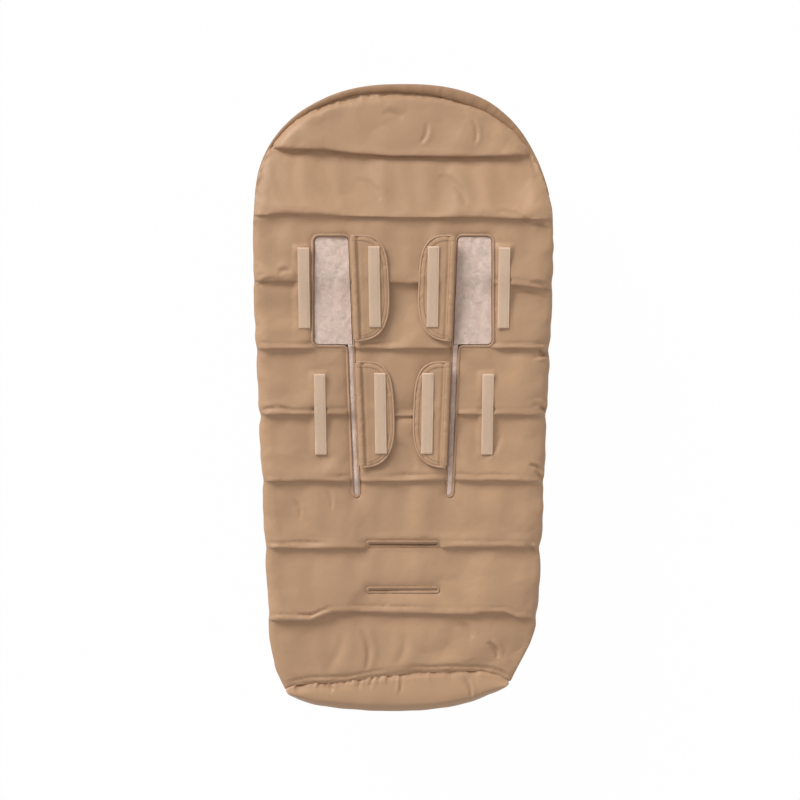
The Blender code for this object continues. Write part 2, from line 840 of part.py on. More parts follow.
def add_front(looks, cover, collar):
    for name, rows_of, shares, lining_shares, reach, parent in (
        ("toe", toe_rows, END_ROW_SHARES, END_ROW_SHARES, toe_reach, None),
        ("cover", cover_rows, ROW_SHARES, LINING_ROW_SHARES, cover_reach, cover),
        ("collar", collar_rows, ROW_SHARES, LINING_ROW_SHARES, collar_reach, collar),
    ):
        rows = rows_of(shares)
        lining_rows = rows_of(lining_shares)
        add_front_panel(name, rows, lining_rows, reach, inner_shift(rows), looks, parent)


# Zips


def zip_turn(side):
    """How far a zip leans, following the side of the muff."""
    lean = math.atan2(HALF_WIDTH - HALF_WIDTH_LOW, TAPER_TOP_Y - TAPER_END_Y)
    return -side * lean


def zip_place(side, y):
    return Vector((side * (half_width(y) - zip_inset()), y, ZIP_Z))


def zip_top_y():
    return TAPER_TOP_Y - ZIP_END_GAP


def add_zip(side, word, looks, cover):
    """Two tapes, each with its coil, and the bottom stop where they stay joined."""
    low, high = zip_place(side, TAPER_END_Y), zip_place(side, zip_top_y())
    length = (high - low).length
    frame = Matrix.Translation((low + high) / 2) @ Matrix.Rotation(zip_turn(side), 4, "Z")
    for half, direction, parent in (("body", 1, None), ("cover", -1, cover)):
        out = side * direction
        coil = bmesh.new()
        bmesh.ops.create_cone(
            coil, cap_ends=True, segments=8, radius1=COIL_RADIUS, radius2=COIL_RADIUS, depth=length
        )
        bmesh.ops.rotate(coil, verts=coil.verts, matrix=Matrix.Rotation(math.pi / 2, 3, "X"))
        bmesh.ops.translate(coil, verts=coil.verts, vec=(out * COIL_SPACING / 2, 0, 0))
        start = COIL_SPACING / 2 + COIL_RADIUS + SEAT_GAP
        tape = box((TAPE_WIDTH, length, TAPE_WALL), (out * (start + TAPE_WIDTH / 2), 0, 0))
        for kind, mesh in (("zip_coil", coil), ("zip_tape", tape)):
            bmesh.ops.transform(mesh, matrix=frame, verts=mesh.verts)
            if parent:
                bmesh.ops.translate(mesh, vec=-parent.location, verts=mesh.verts)
            add_object(f"{kind}_{half}_{word}", mesh, looks["zip"], parent)
    size = (COIL_SPACING + 2 * COIL_RADIUS, STOP_LENGTH, STOP_HEIGHT)
    stop = box(size, (0, -(length + STOP_LENGTH) / 2 - SEAT_GAP, 0))
    bmesh.ops.transform(stop, matrix=frame, verts=stop.verts)
    add_object("zip_stop_" + word, stop, looks["metal"])


def slider_plate_offset():
    return COIL_RADIUS + SEAT_GAP + SLIDER_PLATE / 2


def pull_pivot_drop():
    """From the zip's plane down to the middle of the hole in the slider's lug."""
    return slider_plate_offset() + SLIDER_PLATE / 2 + LUG_HEIGHT / 2


def add_slider(side, word, looks):
    """Two plates round the coils, a post between them, and a lug with a hole for the pull."""
    y = zip_top_y() - SLIDER_LENGTH / 2
    frame = add_empty("zip_slide_" + word, zip_place(side, y), zip_turn(side))
    offset = slider_plate_offset()
    plate = (SLIDER_WIDTH, SLIDER_LENGTH, SLIDER_PLATE)
    slider = add_object("zip_slider_" + word, box(plate, (0, 0, -offset)), looks["metal"], frame)
    post = (COIL_SPACING - 2 * COIL_RADIUS - 2 * SEAT_GAP, SLIDER_POST_LENGTH, 2 * offset)
    lug_top = -offset
    lug_low = -pull_pivot_drop() - LUG_HEIGHT / 2
    lug = (LUG_WIDTH, LUG_LENGTH, lug_top - lug_low)
    pieces = {
        "upper_plate": box(plate, (0, 0, offset)),
        "post": box(post),
        "lug": box(lug, (0, 0, (lug_top + lug_low) / 2)),
    }
    for kind, mesh in pieces.items():
        piece = add_object(f"slider_{kind}_{word}", mesh, None, frame, "cutters")
        hide(piece)
        cut(slider, piece, "UNION")
    hole = bmesh.new()
    radius = PULL_WALL / math.sqrt(2) + SEAT_GAP
    bmesh.ops.create_cone(
        hole, cap_ends=True, segments=12, radius1=radius, radius2=radius, depth=LUG_WIDTH * 2
    )
    bmesh.ops.rotate(hole, verts=hole.verts, matrix=Matrix.Rotation(math.pi / 2, 3, "Y"))
    bmesh.ops.translate(hole, verts=hole.verts, vec=(0, 0, -pull_pivot_drop()))
    cutter = add_object("slider_hole_" + word, hole, None, frame, "cutters")
    hide(cutter)
    cut(slider, cutter)
    return frame


def add_pull(word, frame, looks):
    """A flat tab whose top bar turns in the lug's hole, hanging slack toward the foot."""
    pivot = add_empty("zip_pull_joint_" + word, (0, 0, -pull_pivot_drop()), 0, frame)
    pivot.rotation_euler.x = math.radians(PULL_REST_DEGREES)
    size = (PULL_WIDTH, PULL_LENGTH, PULL_WALL)
    centre = (0, PULL_WALL / 2 - PULL_LENGTH / 2, 0)
    pull = add_object("zip_pull_" + word, box(size, centre), looks["metal"], pivot)
    eye_width = LUG_WIDTH + 2 * PULL_WALL
    eye = box((eye_width, PULL_EYE_LENGTH, PULL_WALL * 3), (0, -(PULL_WALL + PULL_EYE_LENGTH) / 2, 0))
    cutter = add_object("pull_eye_" + word, eye, None, pivot, "cutters")
    hide(cutter)
    cut(pull, cutter)
    soften = pull.modifiers.new("edges", "BEVEL")
    soften.width = PULL_BEVEL
    soften.segments = 1


# Flaps and hook-and-loop strips


def crest_z():
    return BACK_FLOOR_Z + VALLEY + CROWN


def hinge_z():
    return crest_z() + SEAT_GAP + FLAP_WALL - FLAP_PIVOT_DROP


def flap_outline(width, length):
    """Half a superellipse, fuller at the top corner than at the bottom one."""
    points = []
    for step in range(FLAP_STEPS + 1):
        angle = mixed(math.pi / 2, -math.pi / 2, step / FLAP_STEPS)
        power = 2 / (FLAP_TOP_POWER if angle > 0 else FLAP_BOTTOM_POWER)
        rise = math.copysign(abs(math.sin(angle)) ** power, angle)
        points.append((max(math.cos(angle), 0) ** power * width, rise * length / 2))
    return points


def add_flap(side, word, y, looks):
    """A D-shaped flap with its piped edge and strip, turning on the edge of an opening."""
    turn = -side * math.atan(OPENING_SLOPE)
    x = opening_inner_x(y) - HINGE_SETBACK
    hinge = add_empty("flap_hinge_" + word, (side * x, y, hinge_z()), turn)
    low = crest_z() + SEAT_GAP - hinge_z()
    rim = 2 * PIPING_RADIUS + SEAT_GAP
    outline = flap_outline(FLAP_WIDTH - rim, FLAP_LENGTH - 2 * rim)
    plate = [(-side * px, py) for px, py in outline]
    add_object("flap_" + word, prism(plate, low, low + FLAP_WALL), looks["flap"], hinge)
    path = flap_outline(FLAP_WIDTH - PIPING_RADIUS, FLAP_LENGTH - 2 * PIPING_RADIUS)
    path[0] = (PIPING_RADIUS, path[0][1])
    path[-1] = (PIPING_RADIUS, path[-1][1])
    middle = low + FLAP_WALL / 2
    line = [(-side * px, py, middle) for px, py in path]
    radii = [PIPING_RADIUS] * len(line)
    tube("flap_piping_" + word, line, radii, looks["binding"], hinge)
    return hinge


def add_flap_strip(side, word, flap_y, strip_y, hinge, looks):
    low = crest_z() + FLAP_WALL + 2 * SEAT_GAP - hinge_z()
    centre = (-side * FLAP_STRIP_X, strip_y - flap_y, low + STRIP_WALL / 2)
    strip = add_object(
        "flap_strip_" + word, box((STRIP_WIDTH, STRIP_LENGTH, STRIP_WALL)), looks["strip"], hinge
    )
    strip.location = centre
    strip.rotation_euler.z = side * math.atan(OPENING_SLOPE) * (1 - STRIP_TURN_SHARE)


def add_shell_strip(side, word, x, y, looks):
    """A strip sewn on the shell outboard of an opening, following the puffs."""
    lean = OPENING_SLOPE * STRIP_TURN_SHARE
    ends = (y - STRIP_LENGTH / 2, y + STRIP_LENGTH / 2)
    rows = body_rows(0, QUILT_LINES - 1, ROW_SHARES)
    inside = [row.end_y for row in rows if ends[0] + SEAT_GAP < row.end_y < ends[1] - SEAT_GAP]
    levels = [ends[0], *inside, ends[1]]

    def place(across, level):
        px = x + across * STRIP_WIDTH / 2 + lean * (level - y)
        return Vector((side * px, level, body_shell_height(px, level) + STRIP_SEAT))

    halves = (-side, side)
    strip = add_object("shell_strip_" + word, sheet(halves, levels, place), looks["strip"])
    thicken(strip, STRIP_WALL, offset=1)


def add_flaps(looks):
    for side, hand in ((-1, "left"), (1, "right")):
        for level, flap_y, strip_y, shell_x in (
            ("upper", UPPER_FLAP_Y, UPPER_STRIP_Y, UPPER_SHELL_STRIP_X),
            ("lower", LOWER_FLAP_Y, LOWER_STRIP_Y, LOWER_SHELL_STRIP_X),
        ):
            word = f"{level}_{hand}"
            hinge = add_flap(side, word, flap_y, looks)
            add_flap_strip(side, word, flap_y, strip_y, hinge, looks)
            add_shell_strip(side, word, shell_x, strip_y, looks)


def looks_of_parts():
    return {
        "shell": material("shell_satin", TAN, 0.5),
        "flap": material("flap_satin", TAN, 0.55),
        "binding": material("binding_tape", TAN_DEEP, 0.6),
        "rim": material("rim_satin", RIM_TAN, 0.55),
        "strip": material("hook_and_loop", STRIP_TAN, 0.85),
        "fleece": material("fleece_lining", FLEECE, 0.95),
        "wadding": material("polyester_wadding", WADDING, 0.95),
        "zip": material("zip_tape", TAN_DEEP, 0.6),
        "metal": material("zip_metal", METAL, 0.35, 1),
    }


def main():
    for obj in list(bpy.data.objects):
        bpy.data.objects.remove(obj)
    for name in ("footmuff", "cutters"):
        folder = bpy.data.collections.new(name)
        bpy.context.scene.collection.children.link(folder)
    looks = looks_of_parts()
    fold_z = -SEAT_GAP * 2
    cover = add_empty("cover_fold", (0, quilt_y(TOE_LINE), fold_z))
    collar_rise = quilt_y(COLLAR_LINE) - quilt_y(TOE_LINE)
    collar = add_empty("collar_fold", (0, collar_rise, 0), 0, cover)
    bpy.context.view_layer.update()
    add_back_panel(looks, opening_cutters())
    add_bindings(looks)
    add_hood_rim(looks)
    add_side_gussets(looks)
    add_foot_gusset(looks)
    add_front(looks, cover, collar)
    for side, word in ((-1, "left"), (1, "right")):
        add_zip(side, word, looks, cover)
        add_pull(word, add_slider(side, word, looks), looks)
    add_flaps(looks)


main()
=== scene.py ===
"""Dressed model of a quilted stroller footmuff, lying on its front with the back panel up."""

import math

import bmesh
import bpy
import numpy as np
from mathutils import Matrix, Vector, geometry
from mathutils.bvhtree import BVHTree
from mathutils.kdtree import KDTree

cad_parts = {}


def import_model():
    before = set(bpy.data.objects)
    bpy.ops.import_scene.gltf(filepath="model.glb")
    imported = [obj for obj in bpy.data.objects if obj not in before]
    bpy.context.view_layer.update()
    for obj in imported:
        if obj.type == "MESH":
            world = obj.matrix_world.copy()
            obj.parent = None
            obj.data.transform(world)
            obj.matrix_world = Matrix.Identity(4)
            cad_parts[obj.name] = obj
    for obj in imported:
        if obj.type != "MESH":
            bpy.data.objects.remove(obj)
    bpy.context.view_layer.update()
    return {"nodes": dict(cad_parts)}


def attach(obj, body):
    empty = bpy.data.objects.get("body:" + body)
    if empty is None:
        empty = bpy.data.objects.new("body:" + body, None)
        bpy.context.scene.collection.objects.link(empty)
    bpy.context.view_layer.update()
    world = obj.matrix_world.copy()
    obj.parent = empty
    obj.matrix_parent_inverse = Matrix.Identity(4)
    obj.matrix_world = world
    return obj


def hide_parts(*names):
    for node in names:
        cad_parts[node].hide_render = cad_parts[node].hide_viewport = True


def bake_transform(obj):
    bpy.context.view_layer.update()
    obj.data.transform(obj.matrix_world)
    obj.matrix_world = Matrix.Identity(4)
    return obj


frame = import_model()

# Sizes of the model that the pieces follow, in metres
GAP = 0.0003
HALF_WIDTH, HALF_WIDTH_LOW, HALF_WIDTH_CORNER = 0.240, 0.216, 0.180
SHOULDER_Y, TAPER_TOP_Y, TAPER_END_Y, FOOT_CORNER_Y = 0.260, 0.180, -0.335, -0.463
DOME_HEIGHT, DOME_POWER, RIM_WIDTH = 0.2416, 2.4, 0.0135
FOOT_SIDE_POWER, FOOT_ARC_DROP, FOOT_SEAM_RISE, FOOT_SEAM_POWER = 1.9, 0.0386, 0.018, 8
SIDE_DRAW = 0.0022
QUILT_TOP_Y, QUILT_PITCH, QUILT_LINES, TOE_LINE, COLLAR_LINE = 0.394, 0.1058, 8, 7, 2
COLLAR_TOP_Y = 0.266
BACK_FLOOR_Z, HOOD_FOLD_Z, HOOD_FLOOR_Z = 0.0327, 0.010, 0.003
CREST_Z = 0.0527
ZIP_Z, LIP, COVER_ROOF_Z = 0.012, 0.026, 0.0215
COIL_RADIUS, COIL_SPACING, TAPE_WIDTH = 0.0011, 0.0040, 0.0056
ZIP_HALF = COIL_SPACING / 2 + COIL_RADIUS + TAPE_WIDTH + 2 * GAP
OPENING_INNER_X, OPENING_SLOPE = 0.0870, 0.041
WINDOW_OUTER_X, WINDOW_TOP_Y, WINDOW_BOTTOM_Y, WINDOW_CORNER = 0.1426, 0.256, 0.0824, 0.008
SLIT_WIDTH, SLIT_END_Y = 0.0078, -0.1576
CROTCH_LENGTH, CROTCH_WIDTH, CROTCH_UPPER_Y, CROTCH_LOWER_Y = 0.112, 0.0050, -0.2352, -0.3088
FLAP_LENGTH, FLAP_WIDTH, FLAP_WALL, HINGE_SETBACK = 0.170, 0.060, 0.003, 0.0022
PIPING_RADIUS = 0.0015
STRIP_WIDTH, STRIP_LENGTH, STRIP_WALL, FLAP_STRIP_X = 0.0196, 0.129, 0.0010, 0.0358
FLAPS = (
    ("upper", 0.1723, 0.1731, 0.160),
    ("lower", -0.0293, -0.0285, 0.1333),
)
SIDES = ((-1, "left"), (1, "right"))
FOLD_RUN = 0.030


def mixed(a, b, share):
    return a + (b - a) * share


def smooth(low, high, value):
    """Smoothstep from 0 at low to 1 at high."""
    share = np.clip((value - low) / (high - low), 0, 1)
    return share * share * (3 - 2 * share)


def bell(distance, width):
    """1 at no distance, and next to nothing two widths off."""
    return np.exp(-((distance / width) ** 2))


def fading(distance, length):
    return np.exp(-distance / length)


def quarter(distance, radius):
    """A rise from 0 to 1 over a radius, round as a quarter of a circle."""
    return np.sqrt(1 - (1 - np.clip(distance / radius, 0, 1)) ** 2)


def arch(share, power):
    """A rise and fall over a share from 0 to 1."""
    return np.clip(4 * share * (1 - share), 0, 1) ** power


def signed_power(value, power):
    return math.copysign(abs(value) ** power, value)


def hashed(ix, iy, seed):
    """A repeatable number from 0 to 1 for each cell."""
    value = np.sin(ix * 127.1 + iy * 311.7 + seed * 74.7) * 43758.5453
    return value - np.floor(value)


def noise(x, y, seed=0):
    """Smooth noise from -1 to 1, one cell to a unit."""
    x, y = np.asarray(x, float), np.asarray(y, float)
    ix, iy = np.floor(x), np.floor(y)
    fx, fy = x - ix, y - iy
    ux, uy = fx * fx * (3 - 2 * fx), fy * fy * (3 - 2 * fy)
    low = mixed(hashed(ix, iy, seed), hashed(ix + 1, iy, seed), ux)
    high = mixed(hashed(ix, iy + 1, seed), hashed(ix + 1, iy + 1, seed), ux)
    return mixed(low, high, uy) * 2 - 1


# Outline of the muff


def half_width(y):
    y = np.asarray(y, float)
    share = np.clip((y - SHOULDER_Y) / (DOME_HEIGHT - RIM_WIDTH), 0, 1)
    dome = HALF_WIDTH * (1 - share**DOME_POWER) ** (1 / DOME_POWER)
    down = np.clip((TAPER_TOP_Y - y) / (TAPER_TOP_Y - TAPER_END_Y), 0, 1)
    taper = mixed(HALF_WIDTH, HALF_WIDTH_LOW, down)
    share = np.clip((TAPER_END_Y - y) / (TAPER_END_Y - FOOT_CORNER_Y), 0, 1)
    foot = mixed(HALF_WIDTH_LOW, HALF_WIDTH_CORNER, share**FOOT_SIDE_POWER)
    return np.where(y > SHOULDER_Y, dome, np.where(y > TAPER_END_Y, taper, foot))


def foot_seam_y(x):
    across = np.clip(np.abs(x) / HALF_WIDTH_CORNER, 0, 1)
    return FOOT_CORNER_Y + FOOT_SEAM_RISE * (1 - across**FOOT_SEAM_POWER)


def top_edge_y(x):
    across = np.clip(np.abs(x) / HALF_WIDTH, 0, 1)
    return SHOULDER_Y + (DOME_HEIGHT - RIM_WIDTH) * (1 - across**DOME_POWER) ** (1 / DOME_POWER)


def quilt_y(line):
    return QUILT_TOP_Y - line * QUILT_PITCH


# Where quilting lines of the back leave their straight course: places across and along
SEAM_COURSES = {
    0: (
        (-0.21, 0.4002), (-0.12, 0.4000), (-0.078, 0.3952), (-0.013, 0.3902), (0.098, 0.3902),
        (0.20, 0.3885),
    ),
    1: (
        (-0.23, 0.2885), (-0.20, 0.2918), (-0.15, 0.2907), (-0.01, 0.2875), (0.13, 0.2872),
        (0.24, 0.2815),
    ),
    2: ((-0.24, 0.1848), (-0.10, 0.1835), (0.0, 0.1813), (0.173, 0.1785), (0.24, 0.1710)),
    7: (
        (-0.22, -0.3572), (-0.146, -0.3570), (-0.130, -0.3500), (-0.112, -0.3440),
        (-0.080, -0.3418), (-0.02, -0.3440), (0.109, -0.3464), (0.128, -0.3430),
        (0.163, -0.3440), (0.185, -0.3520), (0.22, -0.3556),
    ),
}


def seam_y(line, x):
    """A quilting line of the back, which wanders a little."""
    wander = 0.0016 * noise(np.asarray(x) / 0.11 + 7.3 * line, 0.5, 3)
    wander += 0.0007 * noise(np.asarray(x) / 0.022 + 3.1 * line, 0.5, 4)
    if line in SEAM_COURSES:
        across, along = np.array(SEAM_COURSES[line]).T
        return np.interp(x, across, along) + 0.5 * wander
    return quilt_y(line) + wander


# How far the foot leans: places across, and the lean there at its seam and at its outer edge
LEAN_START_Y = -0.330
LEAN_ACROSS, LEAN_SEAM, LEAN_EDGE = zip(
    (-0.19, -0.0036, -0.0036), (-0.156, -0.0105, -0.0038), (-0.114, -0.0125, -0.0017),
    (-0.078, -0.0100, -0.0008), (-0.043, -0.0040, 0.0), (0.0, 0.0, 0.0),
    (0.034, 0.0045, 0.0005), (0.083, 0.0053, 0.0025), (0.122, 0.0068, 0.0055),
    (0.147, 0.0066, 0.0095), (0.172, 0.0064, 0.0085), (0.19, 0.0060, 0.0060),
)
# How far the hood leans to a side, by the place along
HOOD_LEAN_Y = (0.300, 0.330, 0.362, 0.390, 0.410, 0.436, 0.460, 0.478)
HOOD_LEAN = (0.0, -0.0020, -0.0044, -0.0054, -0.0054, -0.0044, -0.0028, 0.0)


def leaning(verts):
    """Leans both ends of the muff over, as it lies in the photograph."""
    x, y = verts[:, 0], verts[:, 1]
    seam = foot_seam_y(x)
    beyond = smooth(0, 0.028, seam - y)
    at_seam, at_edge = (np.interp(x, LEAN_ACROSS, lean) for lean in (LEAN_SEAM, LEAN_EDGE))
    shift = mixed(at_seam, at_edge, beyond)
    out = verts.copy()
    out[:, 1] += shift * smooth(0, 0.070, -0.375 - y)
    out[:, 0] -= 0.0090 * smooth(0, 0.130, LEAN_START_Y - y)
    out[:, 0] += np.interp(y, HOOD_LEAN_Y, HOOD_LEAN)
    return out


def dome_point(angle, height):
    power = 2 / DOME_POWER
    x = -signed_power(math.cos(angle), power) * HALF_WIDTH
    return Vector((x, SHOULDER_Y + math.sin(angle) ** power * height))


def back_floor(y):
    bend, fold, end = quilt_y(1), quilt_y(0), SHOULDER_Y + DOME_HEIGHT - RIM_WIDTH
    lower = mixed(BACK_FLOOR_Z, HOOD_FOLD_Z, np.clip((y - bend) / (fold - bend), 0, 1))
    upper = mixed(HOOD_FOLD_Z, HOOD_FLOOR_Z, np.clip((y - fold) / (end - fold), 0, 1))
    return np.where(y < fold, lower, upper)


def opening_inner_x(y):
    return OPENING_INNER_X - OPENING_SLOPE * (WINDOW_TOP_Y - y)


def rounded(corners, radii, steps=5):
    """The outline through the corners, each rounded by an arc of its radius."""
    points = []
    count = len(corners)
    for index, (corner, radius) in enumerate(zip(corners, radii)):
        here = Vector(corner)
        before = (Vector(corners[index - 1]) - here).normalized()
        after = (Vector(corners[(index + 1) % count]) - here).normalized()
        half = before.angle(after) / 2
        centre = here + (before + after).normalized() * (radius / math.sin(half))
        start = here + before * (radius / math.tan(half)) - centre
        end = here + after * (radius / math.tan(half)) - centre
        turn = start.angle_signed(end)
        for step in range(steps + 1):
            arm = start.copy()
            arm.rotate(Matrix.Rotation(-turn * step / steps, 2))
            points.append(tuple(centre + arm))
    return points


def harness_outline(side, grow=0.0):
    top, sill, end = WINDOW_TOP_Y + grow, WINDOW_BOTTOM_Y - grow, SLIT_END_Y - grow
    outer, slit = WINDOW_OUTER_X + grow, SLIT_WIDTH + grow
    corners = [
        (opening_inner_x(end) - grow, end),
        (opening_inner_x(end) + slit, end),
        (opening_inner_x(sill) + slit, sill),
        (outer, sill),
        (outer, top),
        (opening_inner_x(top) - grow, top),
    ]
    small = (SLIT_WIDTH / 2 + grow) * 0.95
    corner = WINDOW_CORNER + grow
    radii = [small, small, max(WINDOW_CORNER - grow, GAP), corner, corner, corner]
    points = rounded(corners, radii)
    return [(side * x, y) for x, y in points]


def crotch_outline(y, grow=0.0):
    reach, half = CROTCH_LENGTH / 2 + grow, CROTCH_WIDTH / 2 + grow
    corners = [(-reach, y - half), (reach, y - half), (reach, y + half), (-reach, y + half)]
    return rounded(corners, [half * 0.95] * 4)


def all_openings(grow_harness, grow_crotch):
    return [
        harness_outline(-1, grow_harness),
        harness_outline(1, grow_harness),
        crotch_outline(CROTCH_UPPER_Y, grow_crotch),
        crotch_outline(CROTCH_LOWER_Y, grow_crotch),
    ]


# Meshes over a plan


def resampled(points, spacing, closed=True):
    """The line through the points, with vertices at an even spacing."""
    line = np.array(points, float)
    if closed:
        line = np.vstack([line, line[:1]])
    steps = np.hypot(*np.diff(line, axis=0).T[:2])
    along = np.concatenate([[0], np.cumsum(steps)])
    count = max(int(round(along[-1] / spacing)), 3)
    places = np.linspace(0, along[-1], count + 1)
    if closed:
        places = places[:-1]
    return np.column_stack([np.interp(places, along, line[:, i]) for i in range(line.shape[1])])


def inside(points, polygon):
    """Which points lie in the polygon."""
    x, y = points[:, 0], points[:, 1]
    found = np.zeros(len(points), bool)
    x0, y0 = polygon[-1]
    for x1, y1 in polygon:
        crosses = (y0 > y) != (y1 > y)
        if crosses.any():
            at = x0 + (y - y0) * (x1 - x0) / (y1 - y0 if y1 != y0 else 1)
            found ^= crosses & (x < at)
        x0, y0 = x1, y1
    return found


def distances(points, lines):
    """The distance of each point from the nearest vertex of dense lines."""
    total = sum(len(line) for line in lines)
    tree = KDTree(total)
    index = 0
    for line in lines:
        for x, y in line:
            tree.insert((x, y, 0), index)
            index += 1
    tree.balance()
    return np.array([tree.find((x, y, 0))[2] for x, y in points])


def triangulated(loops, loose, holes, tolerance):
    """Triangles between closed loops and loose points, without those in the holes.

    Also gives where each given point went, and the numbers of each loop's points."""
    points, places = [], []
    for loop in loops:
        places.append(list(range(len(points), len(points) + len(loop))))
        points += [Vector(p) for p in loop]
    points += [Vector(p) for p in loose]
    edges = [(place[i - 1], place[i]) for place in places for i in range(len(place))]
    made = geometry.delaunay_2d_cdt(points, edges, [places[0]], 1, tolerance)
    verts = np.array([tuple(v) for v in made[0]])
    tris = np.array([f for f in made[2] if len(f) == 3])
    for hole in holes:
        tris = tris[~inside(verts[tris].mean(axis=1), hole)]
    went = {source: index for index, sources in enumerate(made[3]) for source in sources}
    return verts, tris, went, places


def plan_mesh(outline, holes, lines, spacing, seed, apart=0.45):
    """Triangles over an outline with holes, with vertices along the lines."""
    edge = resampled(outline, spacing * 0.8)
    hole_lines = [resampled(hole, spacing * 0.5) for hole in holes]
    fixed = [edge, *hole_lines]
    low, high = edge.min(axis=0), edge.max(axis=0)
    rows = int((high[1] - low[1]) / (spacing * 0.866)) + 1
    columns = int((high[0] - low[0]) / spacing) + 2
    iy, ix = np.meshgrid(np.arange(rows), np.arange(columns), indexing="ij")
    x = low[0] + (ix + 0.5 * (iy % 2)) * spacing
    y = low[1] + iy * spacing * 0.866
    jitter = 0.28 * spacing
    x = x + jitter * (hashed(ix, iy, seed) * 2 - 1)
    y = y + jitter * (hashed(ix, iy, seed + 1) * 2 - 1)
    field = np.column_stack([x.ravel(), y.ravel()])
    for line in lines:
        line = line[inside(line, edge)]
        line = line[distances(line, fixed) > spacing * apart]
        fixed.append(line)
    field = field[inside(field, edge)]
    field = field[distances(field, fixed) > spacing * 0.72]
    loose = [point for extra in [*fixed[1 + len(hole_lines) :], field] for point in extra]
    verts, tris, _, _ = triangulated([edge, *hole_lines], loose, hole_lines, 1e-7)
    used = np.unique(tris)
    order = np.full(len(verts), -1)
    order[used] = np.arange(len(used))
    return verts[used], order[tris]


def edges_of(tris):
    return np.concatenate([tris[:, [0, 1]], tris[:, [1, 2]], tris[:, [2, 0]]])


def boundary_edges(tris):
    edges = edges_of(tris)
    keys = np.sort(edges, axis=1)
    _, inverse, counts = np.unique(keys, axis=0, return_inverse=True, return_counts=True)
    return edges[counts[inverse.reshape(-1)] == 1]


def volume_of(verts, faces):
    """The volume inside a closed surface, less than nothing where its faces look inward."""
    total = 0.0
    for size in {len(face) for face in faces}:
        corners = verts[np.array([face for face in faces if len(face) == size])]
        for k in range(1, size - 1):
            total += np.einsum("ij,ij->", corners[:, 0], np.cross(corners[:, k], corners[:, k + 1]))
    return total / 6


def tube_faces(count, sides, closed=False, start=0):
    """The faces of a tube of rings of vertices, with its two ends unless it closes on itself."""
    faces = []
    for i in range(count if closed else count - 1):
        a, b = start + i * sides, start + (i + 1) % count * sides
        for k in range(sides):
            m = (k + 1) % sides
            faces.append((a + k, a + m, b + m, b + k))
    if not closed:
        last = start + (count - 1) * sides
        faces.append(tuple(start + k for k in range(sides)))
        faces.append(tuple(last + k for k in reversed(range(sides))))
    return faces


def made_object(name, verts, faces, materials, wound=False):
    """A mesh piece; faces that are wound the same way all over only need to look outward."""
    data = bpy.data.meshes.new(name)
    if wound and volume_of(np.asarray(verts, float), faces) < 0:
        faces = [tuple(reversed(face)) for face in faces]
    data.from_pydata([tuple(map(float, v)) for v in verts], [], [tuple(map(int, f)) for f in faces])
    if not wound:
        mesh = bmesh.new()
        mesh.from_mesh(data)
        bmesh.ops.recalc_face_normals(mesh, faces=mesh.faces[:])
        mesh.to_mesh(data)
        mesh.free()
    obj = bpy.data.objects.new(name, data)
    bpy.context.scene.collection.objects.link(obj)
    for made in materials if isinstance(materials, (list, tuple)) else [materials]:
        data.materials.append(made)
    data.shade_smooth()
    return obj


def closed_panel(name, plan, tris, face, back, look):
    """A closed body between a shaped face (n by 3) and a back at other heights."""
    count = len(plan)
    verts = np.vstack([face, np.column_stack([plan, back])])
    faces = [tuple(t) for t in tris]
    faces += [(c + count, b + count, a + count) for a, b, c in tris]
    faces += [(b, a, a + count, b + count) for a, b in boundary_edges(tris)]
    return made_object(name, verts, faces, look, wound=True)


def summed(index, values, count):
    return np.column_stack([np.bincount(index, column, count) for column in values.T])


def loop_subdivided(verts, tris):
    """One step of Loop's subdivision of an open or closed surface of triangles."""
    count = len(verts)
    edges = np.sort(edges_of(tris), axis=1)
    keys, inverse, uses = np.unique(edges, axis=0, return_inverse=True, return_counts=True)
    inverse = inverse.reshape(-1)
    opposite = np.concatenate([tris[:, 2], tris[:, 0], tris[:, 1]])
    total = summed(inverse, verts[opposite], len(keys))
    ends = verts[keys[:, 0]] + verts[keys[:, 1]]
    rim = uses == 1
    middles = np.where(rim[:, None], ends / 2, ends * 3 / 8 + total / 8)
    both = np.concatenate([keys[:, 0], keys[:, 1]])
    others = np.concatenate([keys[:, 1], keys[:, 0]])
    number = np.maximum(np.bincount(both, minlength=count), 1)
    around = summed(both, verts[others], count)
    share = np.where(number == 3, 3 / 16, 3 / (8 * number))[:, None]
    moved = verts * (1 - number[:, None] * share) + around * share
    rim_both = np.concatenate([keys[rim, 0], keys[rim, 1]])
    rim_others = np.concatenate([keys[rim, 1], keys[rim, 0]])
    rim_around = summed(rim_both, verts[rim_others], count)
    on_rim = np.unique(rim_both)
    moved[on_rim] = verts[on_rim] * 3 / 4 + rim_around[on_rim] / 8
    ab, bc, ca = inverse.reshape(3, -1) + count
    a, b, c = tris.T
    parts = [(a, ab, ca), (b, bc, ab), (c, ca, bc), (ab, bc, ca)]
    return np.vstack([moved, middles]), np.concatenate([np.column_stack(part) for part in parts])


def loops_of(tris):
    """The boundary loops of a surface, the longest first."""
    following = {int(a): int(b) for a, b in boundary_edges(tris)}
    loops = []
    while following:
        start, here = following.popitem()
        loop = [start]
        while here != start:
            loop.append(here)
            here = following.pop(here)
        loops.append(loop)
    return sorted(loops, key=len, reverse=True)


